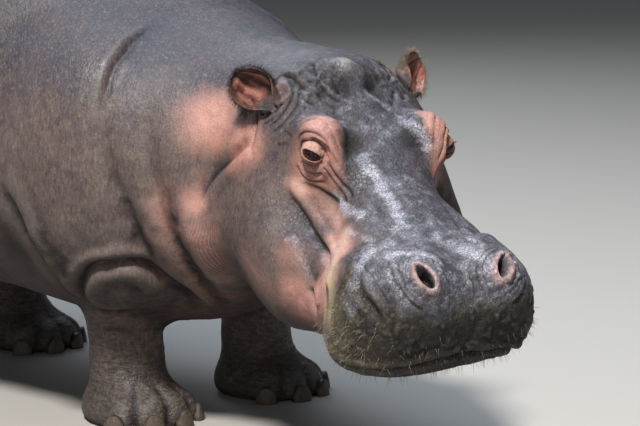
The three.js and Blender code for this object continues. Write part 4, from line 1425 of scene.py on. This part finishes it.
def makeEyes():
    mat = makeEyeMaterial()
    for side in ("right", "left"):
        middle, axes = eyeFrame(side)
        bm = bmesh.new()
        bmesh.ops.create_icosphere(bm, subdivisions=5, radius=1)
        mesh = bpy.data.meshes.new("eyeball_" + side)
        bm.to_mesh(mesh)
        bm.free()
        q = unit(pointsOf(mesh))
        angle = np.degrees(np.arccos(np.clip(q[:, 2], -1, 1)))
        radius = eyePlan["radius"] + eyePlan["bulge"] * smooth(eyePlan["iris"] + 4, 6, angle)
        setPoints(mesh, fromHead((q * radius[:, None]) @ axes + middle))
        degrees = angle / np.maximum(np.hypot(q[:, 0], q[:, 1]), 1e-6)
        across, up = degrees * q[:, 0], degrees * q[:, 1]
        turn = np.arctan2(q[:, 1], q[:, 0]) / math.pi
        pupil = np.hypot(across / eyePlan["pupilWide"], up / eyePlan["pupilTall"])
        writeMarks(mesh, {"irisRing": angle / eyePlan["iris"], "irisTurn": turn, "pupilRing": pupil})
        shadeSmooth(mesh)
        ball = bpy.data.objects.new("eyeball_" + side, mesh)
        bpy.context.collection.objects.link(ball)
        mesh.materials.append(mat)
        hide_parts("eye_" + side)
        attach(ball, "root")


makeEyes()
print("eyes made")

# nails: short blunt hooves, one to a toe
nailPlan = {"halfWide": 0.024, "deep": 0.015, "tall": 0.036, "stand": 0.006, "offFloor": 0.0008,
            "columns": 24, "rows": 18}
nailColours = {"horn": linear(62, 52, 46), "streak": linear(98, 86, 74), "worn": linear(80, 70, 56),
               "root": linear(44, 38, 36)}


def makeNailMaterial():
    mat, surface, start, where = startMaterial("nailHorn")
    c = nailColours
    height = start.mark("nailUp")
    streak = start.streaks(start.mark("nailAcross") * 14.0, height * 1.2, 1.6, 4.0)
    grit = start.grain(where, 0.003, 3.0, 0.6)
    horn = start.tint(streak.between(0.3, 0.7), c["horn"], c["streak"])
    horn = start.tint(height.between(0.35, 0.0) * 0.7, horn, c["worn"])
    horn = start.tint(height.between(0.8, 1.0) * 0.6, horn, c["root"])
    bump = (streak + grit * 0.5).bump(0.5, 0.0012)
    feed(mat, surface, {"Base Color": horn, "Roughness": 0.42 + grit * 0.25, "Normal": bump})
    return mat


def nailShape():
    # the nail's own frame: across, out, up, with where each point lies across and up
    plan = nailPlan
    u, v = np.meshgrid(np.linspace(-1, 1, plan["columns"]), np.linspace(0, 1, plan["rows"]))
    narrow = 1 - 0.12 * v ** 3
    crown = 1 - 0.45 * np.abs(u) ** 3
    bulge = np.sqrt(np.clip(1 - (u * 0.96) ** 2, 0, 1)) * (1 - 0.5 * v ** 1.6)
    front = [u * plan["halfWide"] * narrow, plan["deep"] * bulge, plan["tall"] * v * crown]
    back = [front[0] * 0.9, front[1] * 0 - plan["deep"] * 0.5, front[2]]
    local = np.concatenate([np.stack(sheet, axis=-1).reshape(-1, 3) for sheet in (front, back)])
    marks = {"nailUp": np.stack([v, v]), "nailAcross": np.stack([u, u])}
    return local + [0, plan["stand"], plan["offFloor"]], marks


def makeNails():
    mat = makeNailMaterial()
    local, marks = nailShape()
    for name in legNames:
        foot = boxMiddle(name + "_foot")
        for number in nailNumbers:
            node = f"{name}_nail_{number}"
            at = boxMiddle(node)
            out = at[:2] - foot[:2]
            out = np.array([*(out / np.linalg.norm(out)), 0])
            axes = np.array([[-out[1], out[0], 0], out, [0, 0, 1]])
            faces = sheetFaces(nailPlan["rows"], nailPlan["columns"])
            nail = objectFrom(node.replace("_nail_", "_hoof_"), local @ axes + at * [1, 1, 0], faces)
            faceOutwards(nail.data)
            writeMarks(nail.data, marks)
            shadeSmooth(nail.data)
            nail.data.materials.append(mat)
            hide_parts(node)
            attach(nail, "root")


makeNails()
print("nails made")

# hair: each one a thin bent spine with three sides
hairColours = {"pale": linear(150, 138, 120), "dark": linear(34, 27, 24)}
hairPlan = {"steps": 4, "patch": 0.003, "seed": 11}
# how many, how long at least and at most, how thick and how far they droop
muzzleHair = {"count": 560, "short": 0.006, "long": 0.020, "girth": 0.00045, "droop": 0.12}
earHair = {"count": 900, "share": 0.8, "short": 0.006, "long": 0.015, "girth": 0.0005, "droop": 0.05}
lashes = {"count": 46, "short": 0.005, "long": 0.010, "girth": 0.0003, "droop": 0.2, "out": 26.2}
tailHair = {"count": 260, "share": 0.6, "least": 0.01, "short": 0.025, "long": 0.06, "girth": 0.0006,
            "droop": 0.1}


def makeHairMaterial(name, tint):
    mat, surface, start, where = startMaterial(name)
    vary = start.grain(where, 0.004, 2.0, 0.5)
    darker = (*[channel * 0.55 for channel in tint[:3]], 1)
    hair = start.tint(vary.between(0.3, 0.7), tint, darker)
    feed(mat, surface, {"Base Color": hair, "Roughness": vary * 0.2 + 0.4})
    return mat


def growHair(name, roots, directions, lengths, girth, droop, mat, place):
    # place gives each root's spot on the unwrap
    count, steps = len(roots), hairPlan["steps"]
    directions, droop = unit(directions), np.array([0, 0, -droop])
    aside = unit(np.cross(directions, [0.3, 0.5, 0.8]))
    other = np.cross(directions, aside)
    t = np.linspace(0, 1, steps)
    points = np.empty((count, steps * 3 + 1, 3))
    for k in range(steps):
        base = roots + directions * (lengths * (t[k] * 0.97 - 0.02))[:, None]
        base += droop * (lengths * t[k] ** 2)[:, None]
        for j in range(3):
            turn = 2 * math.pi * j / 3
            side = aside * math.cos(turn) + other * math.sin(turn)
            points[:, k * 3 + j] = base + girth * (1 - 0.75 * t[k]) * side
    points[:, -1] = roots + directions * lengths[:, None] + droop * lengths[:, None]
    pattern, last = [], steps * 3 - 3
    for low in range(0, last, 3):
        pattern += [[low + j, low + (j + 1) % 3, low + 3 + (j + 1) % 3, low + 3 + j] for j in range(3)]
    pattern += [[last + j, last + (j + 1) % 3, last + 3] for j in range(3)] + [[2, 1, 0]]
    size = steps * 3 + 1
    faces = [[i + n * size for i in face] for n in range(count) for face in pattern]
    hair = objectFrom(name, points.reshape(-1, 3), faces)
    layer = hair.data.uv_layers.new(name="OFBake")
    corner = np.empty(len(hair.data.loops), dtype=np.int32)
    hair.data.loops.foreach_get("vertex_index", corner)
    spot = np.stack([np.arange(size) % 3 / 2, np.arange(size) // 3 / steps], axis=1) * hairPlan["patch"]
    uv = place[corner // size] + spot[corner % size]
    layer.data.foreach_set("uv", np.clip(uv, 0, 1).ravel())
    shadeSmooth(hair.data)
    hair.data.materials.append(mat)
    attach(hair, "root")


def unwrapSpot(h):
    # rolled out round the head's own axis
    return np.stack([0.02 + 0.95 * (np.arctan2(h[:, 1], h[:, 2] + 130) / (2 * math.pi) + 0.5),
                     0.02 + 0.95 * np.clip((h[:, 0] + 320) / 820, 0, 1)], axis=1)


def pickRoots(rng, chance, plan):
    # never more than a share of the points where any may grow
    allowed = (chance > plan.get("least", 0)).sum() * plan.get("share", 1)
    count = min(plan["count"], int(allowed))
    return rng.choice(len(chance), size=count, replace=False, p=chance / chance.sum())


def scatter(rng, count, amount):
    return amount * rng.normal(size=(count, 3))


def growMuzzleHair(rng, points, normals, mat):
    plan, h = muzzleHair, toHead(points)
    lip = smooth(300, 400, h[:, 0] + 0.4 * np.abs(h[:, 1])) * smooth(-90, -150, h[:, 2])
    lip *= smooth(-262, -225, h[:, 2])
    side = smooth(240, 300, h[:, 0]) * smooth(120, 160, np.abs(h[:, 1])) * smooth(-120, -170, h[:, 2])
    chin = smooth(180, 260, h[:, 0]) * smooth(-215, -240, h[:, 2])
    index = pickRoots(rng, np.clip(lip + side * 0.7 + chin * 0.7, 0, 1.5), plan)
    lengths = rng.uniform(plan["short"], plan["long"], len(index))
    directions = normals[index] + scatter(rng, len(index), 0.45) + turnFromHead([0.2, 0, -0.35])
    growHair("muzzle_bristles", points[index], directions, lengths, plan["girth"], plan["droop"], mat,
             unwrapSpot(h[index]))


def growEarHair(rng, points, normals, side, mat, longer):
    plan, q = earHair, earDistance(points, side)
    axes = earFrame(side)[1]
    radial = np.hypot(q[:, 0] - earPlan["middle"], q[:, 1])
    onEar = (q[:, 0] > 18) & (q[:, 0] < 110) & (np.abs(q[:, 1]) < 60) & (np.abs(q[:, 2] - 5) < 60)
    index = pickRoots(rng, onEar * smooth(34, 41, radial) * smooth(14, 34, q[:, 0]), plan)
    away = np.stack([q[index, 0] - earPlan["middle"], q[index, 1], np.zeros(len(index))], axis=1)
    directions = turnFromHead(unit(away) @ axes) * 1.2 + 0.5 * normals[index] + scatter(rng, len(index), 0.25)
    lengths = rng.uniform(plan["short"], plan["long"], len(index)) * longer
    growHair("ear_fringe_" + side, points[index], directions, lengths, plan["girth"], plan["droop"], mat,
             unwrapSpot(toHead(points[index])))


def growLashes(rng, side, mat):
    plan = lashes
    middle, axes = eyeFrame(side)
    across = rng.uniform(-40, 44, plan["count"])
    up = lidPlan["slitUp"] * (1 - np.abs(across / lidPlan["slitHalf"]) ** 2.3) + 1.5
    out = eyeDirections(across, up)
    roots = fromHead((out * plan["out"]) @ axes + middle)
    lie = out + [0, 0.1, 0.3] + scatter(rng, len(out), 0.2) + np.outer(across / 60, [1, 0, 0])
    lengths = rng.uniform(plan["short"], plan["long"], len(roots))
    growHair("lashes_" + side, roots, turnFromHead(lie @ axes), lengths, plan["girth"], plan["droop"], mat,
             unwrapSpot(toHead(roots)))


def growTailHair(rng, points, normals, mat):
    plan = tailHair
    low, high = [np.array(corner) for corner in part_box("tail")]
    nearTail = ((points > low - 0.01) & (points < high + 0.01)).all(1)
    index = pickRoots(rng, nearTail * smooth(low[2] + 0.16, low[2] + 0.02, points[:, 2]), plan)
    directions = normals[index] * 0.35 + [0, 0.05, -1.0] + scatter(rng, len(index), 0.12)
    spot = np.stack([0.1 + 0.6 * rng.random(len(index)), 0.05 + 0.4 * rng.random(len(index))], axis=1)
    lengths = rng.uniform(plan["short"], plan["long"], len(index))
    growHair("tail_tuft", points[index], directions, lengths, plan["girth"], plan["droop"], mat, spot)


def makeBristles():
    rng = np.random.default_rng(hairPlan["seed"])
    points, normals = pointsOf(skin.data), normalsOf(skin.data)
    pale = makeHairMaterial("bristlePale", hairColours["pale"])
    dark = makeHairMaterial("bristleDark", hairColours["dark"])
    growMuzzleHair(rng, points, normals, pale)
    growEarHair(rng, points, normals, "right", dark, 0.89)
    growEarHair(rng, points, normals, "left", pale, 1.05)
    growLashes(rng, "right", dark)
    growLashes(rng, "left", dark)
    growTailHair(rng, points, normals, dark)


makeBristles()
print("bristles made")


# plain floor and soft studio light: place, width, power and tint of each lamp
floorPlan = {"size": 60, "tint": (0.4, 0.39, 0.37, 1), "roughness": 0.9}
skyPlan = {"tint": (0.78, 0.87, 1, 1), "strength": 0.1}
lampPlan = {
    "keyLight": {"at": (-4.9, -2.6, 7.9), "size": 1.6, "power": 1320, "tint": (1, 0.96, 0.9)},
    "skyLight": {"at": (0.9, 0.4, 6.0), "size": 5, "power": 210, "tint": (0.78, 0.88, 1)},
    "fillLight": {"at": (-4.6, -3.0, 1.6), "size": 3, "power": 24, "tint": (1, 0.95, 0.9)},
    "floorLight": {"at": (4.2, 7.2, 6.5), "size": 6, "power": 360, "tint": (0.86, 0.92, 1)},
}


def makeFloor():
    bpy.ops.mesh.primitive_plane_add(size=floorPlan["size"], location=(0, 0, 0))
    floor = bpy.context.object
    floor.name = "floor"
    mat = bpy.data.materials.new("paleFloor")
    mat.use_nodes = True
    surface = mat.node_tree.nodes["Principled BSDF"]
    surface.inputs["Base Color"].default_value = floorPlan["tint"]
    surface.inputs["Roughness"].default_value = floorPlan["roughness"]
    floor.data.materials.append(mat)


def lightStage():
    world = bpy.data.worlds.new("world")
    bpy.context.scene.world = world
    world.use_nodes = True
    background = world.node_tree.nodes["Background"]
    background.inputs["Color"].default_value = skyPlan["tint"]
    background.inputs["Strength"].default_value = skyPlan["strength"]
    for name, plan in lampPlan.items():
        data = bpy.data.lights.new(name, "AREA")
        data.shape = "DISK"
        data.size = plan["size"]
        data.energy = plan["power"]
        data.color = plan["tint"]
        lamp = bpy.data.objects.new(name, data)
        lamp.location = plan["at"]
        aim = Vector(betweenEyes) + Vector((0.1, 0.3, 0)) - Vector(plan["at"])
        lamp.rotation_euler = aim.to_track_quat("-Z", "Y").to_euler()
        bpy.context.collection.objects.link(lamp)


bpy.context.scene.view_settings.view_transform = "Standard"
makeFloor()
lightStage()
print("stage set")
